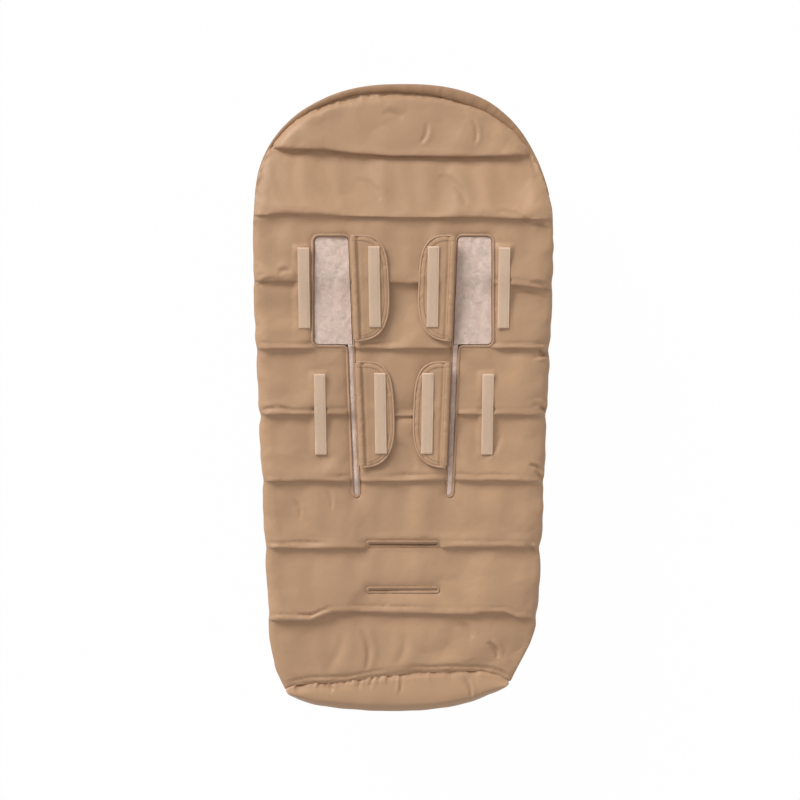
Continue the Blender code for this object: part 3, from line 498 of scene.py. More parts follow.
def backed(name, verts, tris, back_of, look, spacing=0.016):
    """Closes a shaped face with a plainer back, at the heights that back_of gives."""
    a, b, c = (verts[tris[:, k], :2] for k in range(3))
    if np.cross(b - a, c - a).sum() < 0:
        tris = tris[:, ::-1]
    loops = loops_of(tris)
    outlines = [verts[loop, :2] for loop in loops]
    low, high = outlines[0].min(axis=0), outlines[0].max(axis=0)
    xs, ys = np.meshgrid(*(np.arange(low[i], high[i], spacing) for i in (0, 1)))
    field = np.column_stack([xs.ravel(), ys.ravel()])
    field = field[inside(field, outlines[0])]
    field = field[distances(field, outlines) > spacing * 0.4]
    spots, under, went, places = triangulated(outlines, field, outlines[1:], 1e-8)
    count = len(verts)
    every = np.vstack([verts, np.column_stack([spots, back_of(spots[:, 0], spots[:, 1])])])
    faces = [tuple(t) for t in tris] + [(c + count, b + count, a + count) for a, b, c in under]
    for loop, place in zip(loops, places):
        low_loop = [count + went[i] for i in place]
        for i in range(len(loop)):
            faces.append((loop[i], loop[i - 1], low_loop[i - 1], low_loop[i]))
    used = sorted({v for face in faces for v in face})
    order = {v: i for i, v in enumerate(used)}
    faces = [tuple(order[v] for v in face) for face in faces]
    return made_object(name, every[used], faces, look, wound=True)


def coordinates(data):
    flat = np.empty(len(data.vertices) * 3)
    data.vertices.foreach_get("co", flat)
    return flat.reshape(-1, 3)


def inflate(jobs):
    """Cloth under pressure, held at its seams; each point moves no further than its piece's limit.

    A job is a surface's points and triangles, the heights behind it, which points are held,
    the pressure, the share of gravity and the limit. The points come back as they end up."""
    scene = bpy.context.scene
    scene.gravity = (0, -9.81, 0)
    frames = 20
    blown = []
    for verts, tris, back, held, pressure, weight, _ in jobs:
        obj = closed_panel("blown", verts[:, :2], tris, verts, back, [])
        group = obj.vertex_groups.new(name="held")
        pinned = np.concatenate([held, np.arange(len(verts), 2 * len(verts))])
        group.add([int(i) for i in pinned], 1.0, "REPLACE")
        cloth = obj.modifiers.new("cloth", "CLOTH")
        cloth.point_cache.frame_start, cloth.point_cache.frame_end = 1, frames
        cloth.collision_settings.use_collision = False
        settings = cloth.settings
        settings.quality = 4
        settings.mass = 0.15
        settings.tension_stiffness = settings.compression_stiffness = 12
        settings.shear_stiffness = 4
        settings.bending_stiffness = 0.15
        settings.air_damping = 2
        settings.use_pressure = True
        settings.uniform_pressure_force = pressure
        settings.vertex_group_mass = "held"
        settings.shrink_min = -0.05
        settings.effector_weights.gravity = weight
        blown.append(obj)
    for step in range(1, frames + 1):
        scene.frame_set(step)
    graph = bpy.context.evaluated_depsgraph_get()
    ends = []
    for obj, job in zip(blown, jobs):
        verts, limit = job[0], job[-1]
        moved = obj.evaluated_get(graph).to_mesh()
        shift = coordinates(moved)[: len(verts)] - verts
        length = np.linalg.norm(shift, axis=1, keepdims=True)
        ends.append(verts + shift * np.minimum(1, limit / np.maximum(length, 1e-9)))
        bpy.data.objects.remove(obj)
    scene.frame_set(1)
    return ends


def surface_of(obj):
    """A lookup of the height of a piece's upper surface at places in plan."""
    mesh = bmesh.new()
    mesh.from_mesh(obj.data)
    tree = BVHTree.FromBMesh(mesh)
    mesh.free()

    def height(x, y, missed=None):
        hit = tree.ray_cast(Vector((x, y, 1)), Vector((0, 0, -1)))
        return hit[0].z if hit[0] else missed

    return height


def keep_rest(obj):
    """Keeps each vertex's place at rest, so that the materials stay put on cloth that bends."""
    kept = obj.data.attributes.new("rest_place", "FLOAT_VECTOR", "POINT")
    kept.data.foreach_set("vector", coordinates(obj.data).astype(np.float32).ravel())


def finished(obj, body, nodes=()):
    """Leans a piece with the muff, hides the model's nodes it stands for, and hangs it on its body;
    for a fold it only bakes the piece's transform.
    """
    verts = coordinates(obj.data)
    if verts[:, 1].min() < LEAN_START_Y or verts[:, 1].max() > HOOD_LEAN_Y[0]:
        obj.data.vertices.foreach_set("co", leaning(verts).ravel())
        obj.data.update()
    keep_rest(obj)
    if nodes:
        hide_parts(*nodes)
    if isinstance(body, str):
        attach(obj, body)
    else:
        low, high, start, end = body
        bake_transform(obj)
        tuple(start)
        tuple(end)
    return obj


# Materials


def new_material(name, colour, roughness, metallic=0.0):
    made = bpy.data.materials.new(name)
    made.use_nodes = True
    made.diffuse_color = (*colour, 1)
    tree = made.node_tree
    shader = tree.nodes["Principled BSDF"]
    put(tree, shader, {"Base Color": colour, "Roughness": roughness, "Metallic": metallic})
    return made, tree, shader


def put(tree, made, inputs):
    """Sets or links a node's inputs; a colour may be given as three numbers."""
    for key, value in inputs.items():
        if isinstance(value, bpy.types.NodeSocket):
            tree.links.new(value, made.inputs[key])
        else:
            colour = isinstance(value, tuple) and len(value) == 3
            made.inputs[key].default_value = (*value, 1) if colour else value
    return made


def node(tree, kind, inputs={}, **settings):
    made = tree.nodes.new("ShaderNode" + kind)
    for key, value in settings.items():
        setattr(made, key, value)
    return put(tree, made, inputs)


def place_of(tree):
    return node(tree, "Attribute", attribute_name="rest_place").outputs["Vector"]


def noise_of(tree, place, scale, detail=2.0, roughness=0.5, distortion=0.0):
    inputs = {"Vector": place, "Scale": scale, "Detail": detail}
    inputs |= {"Roughness": roughness, "Distortion": distortion}
    return node(tree, "TexNoise", inputs).outputs["Fac"]


def ramp_of(tree, value, low, high, out_low=0.0, out_high=1.0):
    inputs = {"Value": value, "From Min": low, "From Max": high}
    inputs |= {"To Min": out_low, "To Max": out_high}
    return node(tree, "MapRange", inputs).outputs["Result"]


def mix_of(tree, factor, first, second):
    """A colour between two; a Mix node's colours are its inputs 6 and 7 and its output 2."""
    return node(tree, "Mix", {0: factor, 6: first, 7: second}, data_type="RGBA").outputs[2]


def bump_of(tree, height, strength, distance, normal=None):
    inputs = {"Height": height, "Strength": strength, "Distance": distance}
    if normal:
        inputs["Normal"] = normal
    return node(tree, "Bump", inputs).outputs["Normal"]


def weave_of(tree, place, pitch):
    """Warp and weft threads at a pitch, as one height."""
    inputs = {"Vector": place, "Scale": 0.314 / pitch, "Distortion": 0.6, "Detail": 1.0}
    waves = [node(tree, "TexWave", inputs, bands_direction=way).outputs["Fac"] for way in "XY"]
    return math_of(tree, "MULTIPLY", *waves)


def math_of(tree, operation, first, second):
    return node(tree, "Math", {0: first, 1: second}, operation=operation).outputs[0]


def pointiness_of(tree):
    return node(tree, "NewGeometry").outputs["Pointiness"]


def shade(colour, factor):
    return tuple(min(value * factor, 1.0) for value in colour)


def satin_look(name, colour, roughness, crinkle=0.35, sheen=0.15):
    made, tree, shader = new_material(name, colour, roughness)
    place = place_of(tree)
    broad = ramp_of(tree, noise_of(tree, place, 9, 3), 0.3, 0.7)
    base = mix_of(tree, broad, shade(colour, 0.94), shade(colour, 1.05))
    fine = ramp_of(tree, noise_of(tree, place, 90, 4, 0.6), 0.35, 0.65)
    base = mix_of(tree, ramp_of(tree, fine, 0, 1, 0, 0.16), base, shade(colour, 0.88))
    edge = pointiness_of(tree)
    # painted highlight: the colour turns lighter on sharp ridges, found from the pointiness
    ridge_highlight = ramp_of(tree, edge, 0.505, 0.56, 0, 0.22)
    base = mix_of(tree, ridge_highlight, base, shade(colour, 1.18))
    # painted shade: the colour turns darker in hollows and creases, found from the pointiness
    creased = ramp_of(tree, edge, 0.49, 0.43, 0, 0.30)
    base = mix_of(tree, creased, base, shade(colour, 0.72))
    spread = noise_of(tree, place, 26, 3)
    shine = ramp_of(tree, spread, 0.3, 0.7, roughness - 0.06, roughness + 0.07)
    creases = noise_of(tree, place, 48, 5, 0.62, 0.8)
    normal = bump_of(tree, creases, crinkle, 0.0012)
    normal = bump_of(tree, weave_of(tree, place, 0.0006), 0.10, 0.00008, normal)
    put(tree, shader, {"Base Color": base, "Roughness": shine, "Normal": normal})
    put(tree, shader, {"Sheen Weight": sheen, "Sheen Roughness": 0.4, "Specular IOR Level": 0.35})
    return made


def tape_look(name, colour, roughness=0.62):
    made, tree, shader = new_material(name, colour, roughness)
    place = place_of(tree)
    broad = ramp_of(tree, noise_of(tree, place, 30, 3), 0.3, 0.7)
    base = mix_of(tree, broad, shade(colour, 0.90), shade(colour, 1.08))
    edge = pointiness_of(tree)
    # painted highlight: lighter on sharp edges, found from the pointiness
    base = mix_of(tree, ramp_of(tree, edge, 0.50, 0.60, 0, 0.35), base, shade(colour, 1.25))
    # painted shade: darker in hollows, found from the pointiness
    base = mix_of(tree, ramp_of(tree, edge, 0.48, 0.40, 0, 0.4), base, shade(colour, 0.6))
    normal = bump_of(tree, weave_of(tree, place, 0.0009), 0.35, 0.00016)
    normal = bump_of(tree, noise_of(tree, place, 140, 3), 0.2, 0.0004, normal)
    put(tree, shader, {"Base Color": base, "Sheen Weight": 0.1, "Normal": normal})
    return made


def fleece_look(name, colour):
    made, tree, shader = new_material(name, colour, 0.95)
    place = place_of(tree)
    clumps = ramp_of(tree, noise_of(tree, place, 110, 4, 0.65, 0.6), 0.32, 0.68)
    base = mix_of(tree, clumps, shade(colour, 0.80), shade(colour, 1.12))
    warm = ramp_of(tree, noise_of(tree, place, 28, 3), 0.35, 0.65, 0, 0.4)
    base = mix_of(tree, warm, base, (colour[0] * 0.97, colour[1] * 0.88, colour[2] * 0.84))
    normal = bump_of(tree, noise_of(tree, place, 300, 4, 0.7, 0.8), 0.8, 0.0016)
    put(tree, shader, {"Base Color": base, "Normal": normal})
    put(tree, shader, {"Sheen Weight": 0.5, "Sheen Roughness": 0.6, "Specular IOR Level": 0.1})
    return made


def hook_look(name, colour):
    made, tree, shader = new_material(name, colour, 0.85)
    place = place_of(tree)
    cells = node(tree, "TexVoronoi", {"Vector": place, "Scale": 900.0}).outputs["Distance"]
    dots = ramp_of(tree, cells, 0.1, 0.6)
    base = mix_of(tree, dots, shade(colour, 1.06), shade(colour, 0.88))
    broad = ramp_of(tree, noise_of(tree, place, 60, 3), 0.3, 0.7, 0, 0.5)
    base = mix_of(tree, broad, base, shade(colour, 0.94))
    normal = bump_of(tree, cells, 0.6, 0.0005)
    put(tree, shader, {"Base Color": base, "Sheen Weight": 0.2, "Normal": normal})
    return made


def metal_look(name, colour):
    made, tree, shader = new_material(name, colour, 0.35, 1.0)
    place = node(tree, "TexCoord").outputs["Object"]
    scratches = noise_of(tree, place, 700, 4, 0.6, 1.5)
    shine = ramp_of(tree, scratches, 0.3, 0.7, 0.26, 0.46)
    tone = ramp_of(tree, noise_of(tree, place, 90, 3), 0.3, 0.7)
    base = mix_of(tree, tone, shade(colour, 0.85), shade(colour, 1.1))
    normal = bump_of(tree, scratches, 0.15, 0.0002)
    put(tree, shader, {"Base Color": base, "Roughness": shine, "Normal": normal})
    return made


TAN = (0.486, 0.294, 0.171)
SHELL = satin_look("shell_cloth", TAN, 0.50)
FLAP = satin_look("flap_cloth", (0.495, 0.300, 0.174), 0.52, 0.3)
# The piping is the flap's satin, made a little lighter as a painted highlight
CORD_LIT_SATIN = satin_look("cord_satin_painted_highlight", (0.500, 0.318, 0.198), 0.50, 0.3)
# The rim is the shell's satin, made darker as painted shade
RIM_SHADED_SATIN = satin_look("rim_satin_painted_shade", (0.372, 0.214, 0.118), 0.52, 0.5)
BINDING = tape_look("binding_cloth", (0.440, 0.267, 0.158))
STITCH = tape_look("stitch_thread", (0.250, 0.145, 0.082), 0.7)
STRIP_EDGE = tape_look("strip_border", (0.725, 0.515, 0.365), 0.75)
STRIP = hook_look("strip_hooks", (0.708, 0.508, 0.356))
FLEECE = fleece_look("fleece_pile", (0.780, 0.606, 0.512))
ZIP = tape_look("zip_cloth", (0.366, 0.216, 0.130))
COIL = tape_look("zip_nylon", (0.330, 0.195, 0.118), 0.4)
METAL = metal_look("zip_alloy", (0.560, 0.500, 0.420))


# Back panel


def channel_places(x, y):
    """The share down its channel, and the distances to the seams above and below."""
    edges = [top_edge_y(x)]
    edges += [seam_y(line, x) for line in range(QUILT_LINES)]
    edges.append(foot_seam_y(x))
    above = np.full(len(x), 9.0)
    below = np.full(len(x), -9.0)
    line_below = np.zeros(len(x), int)
    for index, edge in enumerate(edges):
        over = (edge >= y - 1e-6) & (edge < above)
        above = np.where(over, edge, above)
        under = (edge < y - 1e-6) & (edge > below)
        line_below = np.where(under, index, line_below)
        below = np.where(under, edge, below)
    above = np.where(above > 8, y, above)
    below = np.where(below < -8, y, below)
    pitch = np.maximum(above - below, 1e-4)
    return (above - y) / pitch, above - y, y - below, line_below


VALLEY, END_VALLEY, CROWN = 0.0036, 0.0028, 0.0130
HOOD_END_Y = 0.49
# A vertex this near to a seam lies on it
ON_SEAM = 0.0006
# By channel from the hood: how high it starts under its upper seam, and how high it ends
STARTS = np.array([0.80, 0.02, 0.02, 0.34, 0.40, 0.42, 0.42, 0.38, 0.16])
ENDS = np.array([1.28, 0.80, 1.0, 0.95, 0.95, 0.95, 0.95, 1.0, 0.40])
TUCKS = np.array([0.1, 0.15, 0.6, 0.8, 0.8, 0.9, 0.7, 1.0, 0.9])
# By seam: how much the groove over it closes up
FILLS = np.array([0.0004, 0.0004, 0.0010, 0.0022, 0.0022, 0.0022, 0.0018, 0.0008, 0.0])
# By channel: how far its cloth still falls past its upper seam, before it rises again
DISHES = np.array([0.0, 0.16, 0.16, 0.12, 0.12, 0.12, 0.12, 0.14, 0.20])
# The channel that fills up between the lower flaps
FLAP_CHANNEL = 5


def under_strips(x, y):
    """Where the back's strips are sewn on and keep the cloth flat."""
    found = np.zeros(len(x))
    for side, _ in SIDES:
        for _, _, strip_y, shell_x in FLAPS:
            middle = side * shell_x + side * OPENING_SLOPE * 0.4 * (y - strip_y)
            across = 1 - smooth(STRIP_WIDTH / 2, STRIP_WIDTH / 2 + 0.007, np.abs(x - middle))
            along = 1 - smooth(STRIP_LENGTH / 2, STRIP_LENGTH / 2 + 0.007, np.abs(y - strip_y))
            found = np.maximum(found, across * along)
    return found


def back_face(plan, rim_lines, hole_lines):
    """Where each vertex of the back's outer face starts, before the cloth is blown up."""
    x, y = plan[:, 0], plan[:, 1]
    share, from_top, from_bottom, line = channel_places(x, y)
    channel = np.clip(line - 1, 0, len(STARTS) - 1)
    side = distances(plan, rim_lines)
    hole = distances(plan, hole_lines)
    round_off = quarter(side, mixed(0.022, 0.034, smooth(0.05, 0.20, x)))
    to_foot = smooth(FOOT_CORNER_Y, quilt_y(TOE_LINE), y)
    to_hood = smooth(quilt_y(0), HOOD_END_Y, y)
    lower, upper = mixed(END_VALLEY, VALLEY, to_foot), mixed(VALLEY, END_VALLEY, to_hood)
    valley = np.where(y > quilt_y(0), upper, lower)
    waves = noise(x / 0.060 + 5.1 * channel, 0.4, 36)
    waves = waves + 0.5 * noise(x / 0.024 + 3.3 * channel, 0.8, 37)
    level = mixed(STARTS[channel], ENDS[channel], np.clip(share, 0, 1) ** (1.1 + 0.45 * waves))
    level = level + DISHES[channel] * fading(from_top, 0.0085)
    between = (1 - smooth(0.018, 0.034, np.abs(x - 0.003))) * smooth(0.002, 0.012, from_top)
    level = mixed(level, np.maximum(level, 0.88), between * (channel == FLAP_CHANNEL))
    open_end = mixed(quarter(from_top, 0.008), 1, smooth(0, 0.02, DISHES[channel]))
    lobe = open_end * quarter(from_bottom, 0.0070)
    puff = mixed(level * np.where(from_bottom < ON_SEAM, 0.9, lobe), 0.80, under_strips(x, y))
    full = valley + CROWN * puff - 0.0046 * fading(hole, 0.008)
    z = back_floor(y) + mixed(0.0015, full, round_off)
    hang = 0.0056 * bell(from_bottom - 0.0032, 0.0045) * smooth(0, 0.0028, from_bottom)
    hang = hang * level * round_off * smooth(0.0, 0.008, hole) * (line > 0)
    return np.column_stack([x, y - hang, z])


def back_outline():
    """The plan of the back inside the rim, from the left end of the foot seam round."""
    foot = [(x, foot_seam_y(x)) for x in np.linspace(-HALF_WIDTH_CORNER, HALF_WIDTH_CORNER, 80)]
    side = []
    for y in np.linspace(FOOT_CORNER_Y, SHOULDER_Y, 240)[1:]:
        nearest = min(abs(y - quilt_y(line)) for line in range(QUILT_LINES))
        draw = SIDE_DRAW * bell(nearest, 0.012)
        side.append((float(half_width(y)) - draw, y))
    dome = []
    for a in np.linspace(math.pi, 0, 160):
        under_rim = mixed(0.0045, 0.0095, float(smooth(-0.1, 0.7, math.cos(a))))
        dome.append(dome_point(a, DOME_HEIGHT - RIM_WIDTH + under_rim))
    ragged = []
    for sign, points in ((1, side), (0, [tuple(p) for p in dome]), (-1, side[::-1])):
        for x, y in points:
            if sign:
                x = sign * (x + 0.0009 * float(noise(y / 0.016, sign * 3, 5)))
            ragged.append((x, y))
    return [(float(x), float(y)) for x, y in foot] + ragged


def tuck_and_pucker(verts, weight):
    """Adds what the quilting does to the cloth: a tuck over each seam, pleats and creases."""
    x, y = verts[:, 0].copy(), verts[:, 1].copy()
    _, from_top, from_bottom, line = channel_places(x, y)
    channel = np.clip(line - 1, 0, len(TUCKS) - 1)
    reach = np.maximum(half_width(y), 0.02)
    outer = smooth(0.60, 0.97, np.abs(x) / reach)
    fullness = np.clip(0.55 + 0.75 * noise(x / 0.050, line * 3.1, 11), 0, 1.2) * TUCKS[channel]
    drift = 0.0014 * noise(x / 0.028, line * 2.2, 12)
    tuck = bell(from_bottom - 0.0040 - drift, 0.0022) * fullness
    crease = bell(from_bottom - 0.0088 - drift, 0.0021) * fullness
    z = 0.0022 * tuck - 0.0030 * crease
    pleats = noise(x / 0.0095 + 0.2 * noise(y / 0.01, line, 24), line * 5.7 + y / 0.05, 21)
    gathers = smooth(0.1, 0.7, noise(x / 0.060, line * 4.4, 25))
    z += (0.0001 + 0.0011 * outer + 0.0004 * gathers) * pleats * fading(from_top, 0.012)
    ruffle = noise(x / 0.0100 + 4, line * 2.3 + y / 0.03, 22)
    z += (0.0002 + 0.0013 * outer) * ruffle * fading(from_bottom, 0.008)
    fans = noise(x / 0.034 + 0.35 * from_top / 0.03, line * 1.9, 23)
    z += 0.0014 * np.abs(fans) * fading(from_top, 0.030) * smooth(0, 0.006, from_top)
    wander = 0.35 * noise(x / 0.09, y / 0.09, 33)
    facets = np.abs(noise((x * 0.8 + y) / 0.050 + wander, (y - x * 0.5) / 0.070 - wander, 31))
    broad = noise(x / 0.075 + 2 * wander, y / 0.045, 34)
    nearest = np.minimum(from_top, from_bottom)
    z += (0.0017 * (facets - 0.3) + 0.0010 * broad) * smooth(0.0, 0.02, nearest)
    seam = np.where(from_top < from_bottom, channel - 1, channel)
    fill = FILLS[np.clip(seam, 0, len(FILLS) - 1)] * (1 + 0.5 * noise(x / 0.07, seam * 3.7, 35))
    z += np.where(seam >= 0, fill, 0) * bell(nearest, 0.0034)
    out = verts.copy()
    out[:, 2] += z * weight
    out[:, 1] -= 0.0018 * tuck * weight
    return out


# Creases of the foot end and the back that the photograph shows: ends in plan, width, depth
FOOT_FOLDS = (
    (-0.0010, -0.4480, -0.0020, -0.4730, 0.0022, -0.0024),
    (-0.1180, -0.4480, -0.1040, -0.4700, 0.0030, 0.0032),
    (-0.0700, -0.4460, -0.0600, -0.4640, 0.0026, 0.0028),
    (-0.0480, -0.4480, -0.0440, -0.4640, 0.0024, 0.0024),
    (0.1060, -0.4560, 0.1180, -0.4880, 0.0022, 0.0030),
)
FOLDS = (
    (0.2330, 0.0640, 0.2150, 0.0760, 0.0026, 0.0050),
    (0.2330, 0.0720, 0.2080, 0.0640, 0.0022, 0.0035),
    (0.2200, -0.0170, 0.2340, -0.0360, 0.0028, 0.0060),
    (0.2060, -0.0120, 0.2260, -0.0210, 0.0022, 0.0030),
    (0.2020, -0.1080, 0.2230, -0.1230, 0.0022, 0.0040),
    (0.2100, -0.1180, 0.2250, -0.1450, 0.0026, 0.0045),
    (0.1950, -0.2360, 0.2140, -0.2560, 0.0026, 0.0030),
    (0.1400, -0.3930, 0.1590, -0.4230, 0.0032, 0.0040),
    (0.0900, -0.3610, 0.1140, -0.3870, 0.0050, 0.0022),
    (0.1160, 0.4440, 0.1200, 0.4040, 0.0026, 0.0022),
    (0.0420, 0.4400, 0.0330, 0.4060, 0.0030, 0.0022),
    (-0.0300, 0.4560, 0.0040, 0.4470, 0.0050, 0.0020),
    (0.1900, 0.4020, 0.2180, 0.3600, 0.0034, 0.0030),
    (0.1500, 0.2960, 0.2100, 0.2700, 0.0034, 0.0022),
    (0.2050, 0.2760, 0.2350, 0.2660, 0.0026, 0.0030),
    (0.2000, 0.1800, 0.2350, 0.1700, 0.0030, 0.0030),
    (0.1760, 0.1640, 0.2300, 0.1560, 0.0028, 0.0022),
    (0.1750, 0.2320, 0.1600, 0.2080, 0.0040, 0.0016),
    (-0.2000, 0.1960, -0.1780, 0.2010, 0.0036, 0.0026),
    (-0.2300, 0.1790, -0.1950, 0.1850, 0.0026, 0.0026),
    (-0.1740, -0.1640, -0.1640, -0.1960, 0.0026, 0.0018),
    (-0.1210, -0.1500, -0.1150, -0.1800, 0.0024, 0.0018),
    (-0.2250, -0.0220, -0.1700, -0.0270, 0.0030, 0.0024),
    (-0.0650, -0.3730, -0.0500, -0.4320, 0.0042, 0.0030),
    (-0.0940, -0.3700, -0.1150, -0.4300, 0.0075, 0.0018),
    (0.0060, -0.3800, -0.0030, -0.4280, 0.0070, 0.0018),
    (0.1550, -0.0600, 0.1250, -0.1000, 0.0046, 0.0018),
    (-0.0200, -0.0700, 0.0220, -0.1150, 0.0060, 0.0018),
    (-0.0700, 0.3500, -0.0350, 0.3140, 0.0055, 0.0020),
    (0.0650, 0.3560, 0.1020, 0.3060, 0.0060, 0.0024),
)


def creased(verts, folds):
    """Dents along lines that taper to their ends, each with a low ridge on one side."""
    out = verts.copy()
    for x0, y0, x1, y1, width, depth in folds:
        a, b = np.array([x0, y0]), np.array([x1, y1])
        run = b - a
        across = np.array([-run[1], run[0]]) / np.linalg.norm(run)
        along = ((verts[:, :2] - a) @ run) / (run @ run)
        taper = np.sqrt(np.clip(np.sin(np.pi * np.clip(along, 0, 1)), 0, 1))
        bend = 0.12 * np.linalg.norm(run) * np.sin(np.pi * np.clip(along, 0, 1))
        away = (verts[:, :2] - a) @ across - bend
        dent = bell(away, width)
        ridge = bell(away - 2.4 * width, 1.4 * width)
        out[:, 2] += (0.45 * depth * ridge - depth * dent) * taper
    return out


def make_back():
    """The back's outer face: its starting shape and what is held while it is blown up."""
    outline = back_outline()
    holes = all_openings(0.0012, 0.0010)
    lines = []
    across = np.arange(-0.245, 0.245, 0.0032)
    for line in range(QUILT_LINES):
        for offset in (0.0, 0.0035, 0.0075, 0.0120, -0.0035):
            lines.append(np.column_stack([across, seam_y(line, across) + offset]))
    plan, tris = plan_mesh(outline, holes, lines, 0.0052, 1)
    rim_lines = [resampled(outline, 0.002)]
    hole_lines = [resampled(hole, 0.002) for hole in holes]
    face = back_face(plan, rim_lines, hole_lines)
    x, y = plan.T
    gaps = np.min([np.abs(y - seam_y(i, x)) for i in range(QUILT_LINES)], axis=0)
    held = np.unique(np.concatenate([np.where(gaps < ON_SEAM)[0], np.unique(boundary_edges(tris))]))
    job = (face, tris, back_floor(plan[:, 1]) + 0.0006, held, 5.0, 0.5, 0.0055)
    return job, rim_lines, hole_lines


def evened(start, shift, tris, rounds):
    """Spreads how far each point moved over its neighbours to the sides, so that ripples go."""
    edges = edges_of(tris)
    edges = np.concatenate([edges, edges[:, ::-1]])
    run = start[edges[:, 1], :2] - start[edges[:, 0], :2]
    sideways = (run[:, 0] ** 2 / (run**2).sum(axis=1)) ** 1.5 + 0.04
    weight = np.bincount(edges[:, 0], sideways, len(shift))[:, None] + 1e-9
    for _ in range(rounds):
        moved = summed(edges[:, 0], shift[edges[:, 1]] * sideways[:, None], len(shift))
        shift = 0.4 * shift + 0.6 * moved / weight
    return shift


def finish_back(start, verts, tris, rim_lines, hole_lines):
    _, from_top, _, line = channel_places(start[:, 0], start[:, 1])
    channel = np.clip(line - 1, 0, len(DISHES) - 1)
    kept = 1 - 2.2 * DISHES[channel] * fading(from_top, 0.022)
    shift = verts - start
    shift = mixed(shift, evened(start, shift, tris, 18), 0.85)
    verts, tris = loop_subdivided(start + shift * kept[:, None], tris)
    side = distances(verts[:, :2], rim_lines)
    hole = distances(verts[:, :2], hole_lines)
    verts = tuck_and_pucker(verts, smooth(0.0, 0.010, side) * smooth(0.001, 0.006, hole))
    verts = creased(verts, FOLDS)
    top = CREST_Z - 0.0006
    over = verts[:, 2] - (top - 0.002)
    verts[:, 2] = np.where(over > 0, top - 0.002 + 0.002 * np.tanh(over / 0.002), verts[:, 2])
    verts[:, 2] = np.maximum(verts[:, 2], back_floor(verts[:, 1]) + 0.0012)
    panel = backed("back_panel", verts, tris, lambda x, y: back_floor(y) + 0.0006, SHELL)
    nodes = ["back_shell"] + [n for n in frame["nodes"] if n.startswith("back_padding")]
    finished(panel, "back", nodes)
    return panel


def ring(name, path, section, look):
    """A closed band round an opening; section gives points for each place of the path."""
    verts = [p for index in range(len(path)) for p in section(index)]
    return made_object(name, verts, tube_faces(len(path), len(section(0)), closed=True), look)


def normals_of(path):
    """Outward normals of a closed path in plan."""
    ahead, behind = np.roll(path, -1, axis=0), np.roll(path, 1, axis=0)
    along = ahead - behind
    along /= np.linalg.norm(along, axis=1, keepdims=True)
    out = np.column_stack([along[:, 1], -along[:, 0]])
    area = np.sum(path[:, 0] * ahead[:, 1] - ahead[:, 0] * path[:, 1])
    return out if area > 0 else -out


def rolling(values, reach, closed=True):
    """A running mean over places on both sides."""
    kernel = np.hanning(2 * reach + 3)[1:-1]
    kernel /= kernel.sum()
    if closed:
        padded = np.concatenate([values[-reach:], values, values[:reach]])
    else:
        padded = np.concatenate([np.full(reach, values[0]), values, np.full(reach, values[-1])])
    return np.convolve(padded, kernel, "valid")


def welt(w, top, low):
    """The section of a slot's edge: a flat frame whose lips lean in over it and almost meet."""
    return [
        (0.0, low), (0.0, top - 0.0052), (-0.0024, top - 0.0036), (-0.0024, top - 0.0017),
        (-0.0016, top - 0.0011), (-0.0004, top - 0.0004), (0.0008, top + 0.0007),
        (w * 0.6, top + 0.0009), (w * 0.9, top + 0.0004), (w, top - 0.0004),
        (0.0013, top - 0.0016), (0.0013, low),
    ]


def bound_edge(w, top, low):
    """The section of a harness opening's edge: a tape folded over the cloth."""
    return [
        (0.0, low), (0.0, top - 0.0015), (0.0003, top + 0.0004), (0.0012, top + 0.0013),
        (w * 0.5, top + 0.0015), (w * 0.85, top + 0.0010), (w, top - 0.0001),
        (w * 0.98, top - 0.0010), (w * 0.5, top - 0.0012), (0.0013, top - 0.0020), (0.0013, low),
    ]


def make_bindings(height):
    jobs = []
    for side, hand in SIDES:
        jobs.append(("harness", hand, harness_outline(side), 0.0046))
    for level, y in (("upper", CROTCH_UPPER_Y), ("lower", CROTCH_LOWER_Y)):
        jobs.append(("crotch", level, crotch_outline(y), 0.0031))
    for kind, word, outline, width in jobs:
        path = resampled(outline, 0.0022)
        out = normals_of(path)
        levels = []
        for point, normal in zip(path, out):
            tries = [height(*(point + normal * d)) for d in (0.003, 0.0045, 0.006)]
            levels.append(np.mean([z for z in tries if z is not None]))
        levels = rolling(np.array(levels), 2)
        low = BACK_FLOOR_Z - 0.0028
        wave = 0.0003 * noise(np.arange(len(path)) / 3.0, 0, 41)

        def section(index):
            x, y = path[index]
            nx, ny = out[index]
            top = levels[index] + wave[index]
            if kind == "crotch":
                spots = welt(width, top, low)
            else:
                # lower and narrower on the side where the flaps lie
                beside = float(smooth(0.2, 0.9, -nx * math.copysign(1, x)))
                spots = bound_edge(mixed(width, 0.0026, beside), top - 0.0008 * beside, low)
            return [(x + nx * g, y + ny * g, z) for g, z in spots]

        tape = ring(f"{kind}_tape_{word}", path, section, BINDING)
        finished(tape, "back", [f"{kind}_binding_{word}"])


def capsule_rows(name, spots, look, length=0.0022, radius=0.00032):
    """Small stitches, each a six-sided spindle lying along its direction."""
    verts, faces = [], []
    ring_at = ((-0.5, 0.15), (-0.38, 0.9), (0.38, 0.9), (0.5, 0.15))
    for x, y, z, dx, dy, dz in spots:
        run = Vector((dx, dy, dz)).normalized()
        side = run.cross(Vector((0, 0, 1))).normalized()
        up = side.cross(run)
        faces += tube_faces(len(ring_at), 6, start=len(verts))
        for share, size in ring_at:
            for k in range(6):
                angle = k * math.pi / 3
                offset = (side * math.cos(angle) + up * math.sin(angle)) * radius * size
                verts.append(Vector((x, y, z)) + run * (share * length) + offset)
    return made_object(name, verts, faces, look)


def stitch_spots(path, height, pitch=0.0034, closed=True, lift=0.00015):
    """Places and directions of stitches along a path, where there is cloth under them."""
    line = resampled(path, pitch, closed)
    spots = []
    count = len(line)
    for index in range(count if closed else count - 1):
        x, y = line[index][:2]
        x1, y1 = line[(index + 1) % count][:2]
        z, z1 = height(x, y), height(x1, y1)
        if z is not None and z1 is not None:
            spots.append((x, y, z + lift, x1 - x, y1 - y, z1 - z))
    return spots


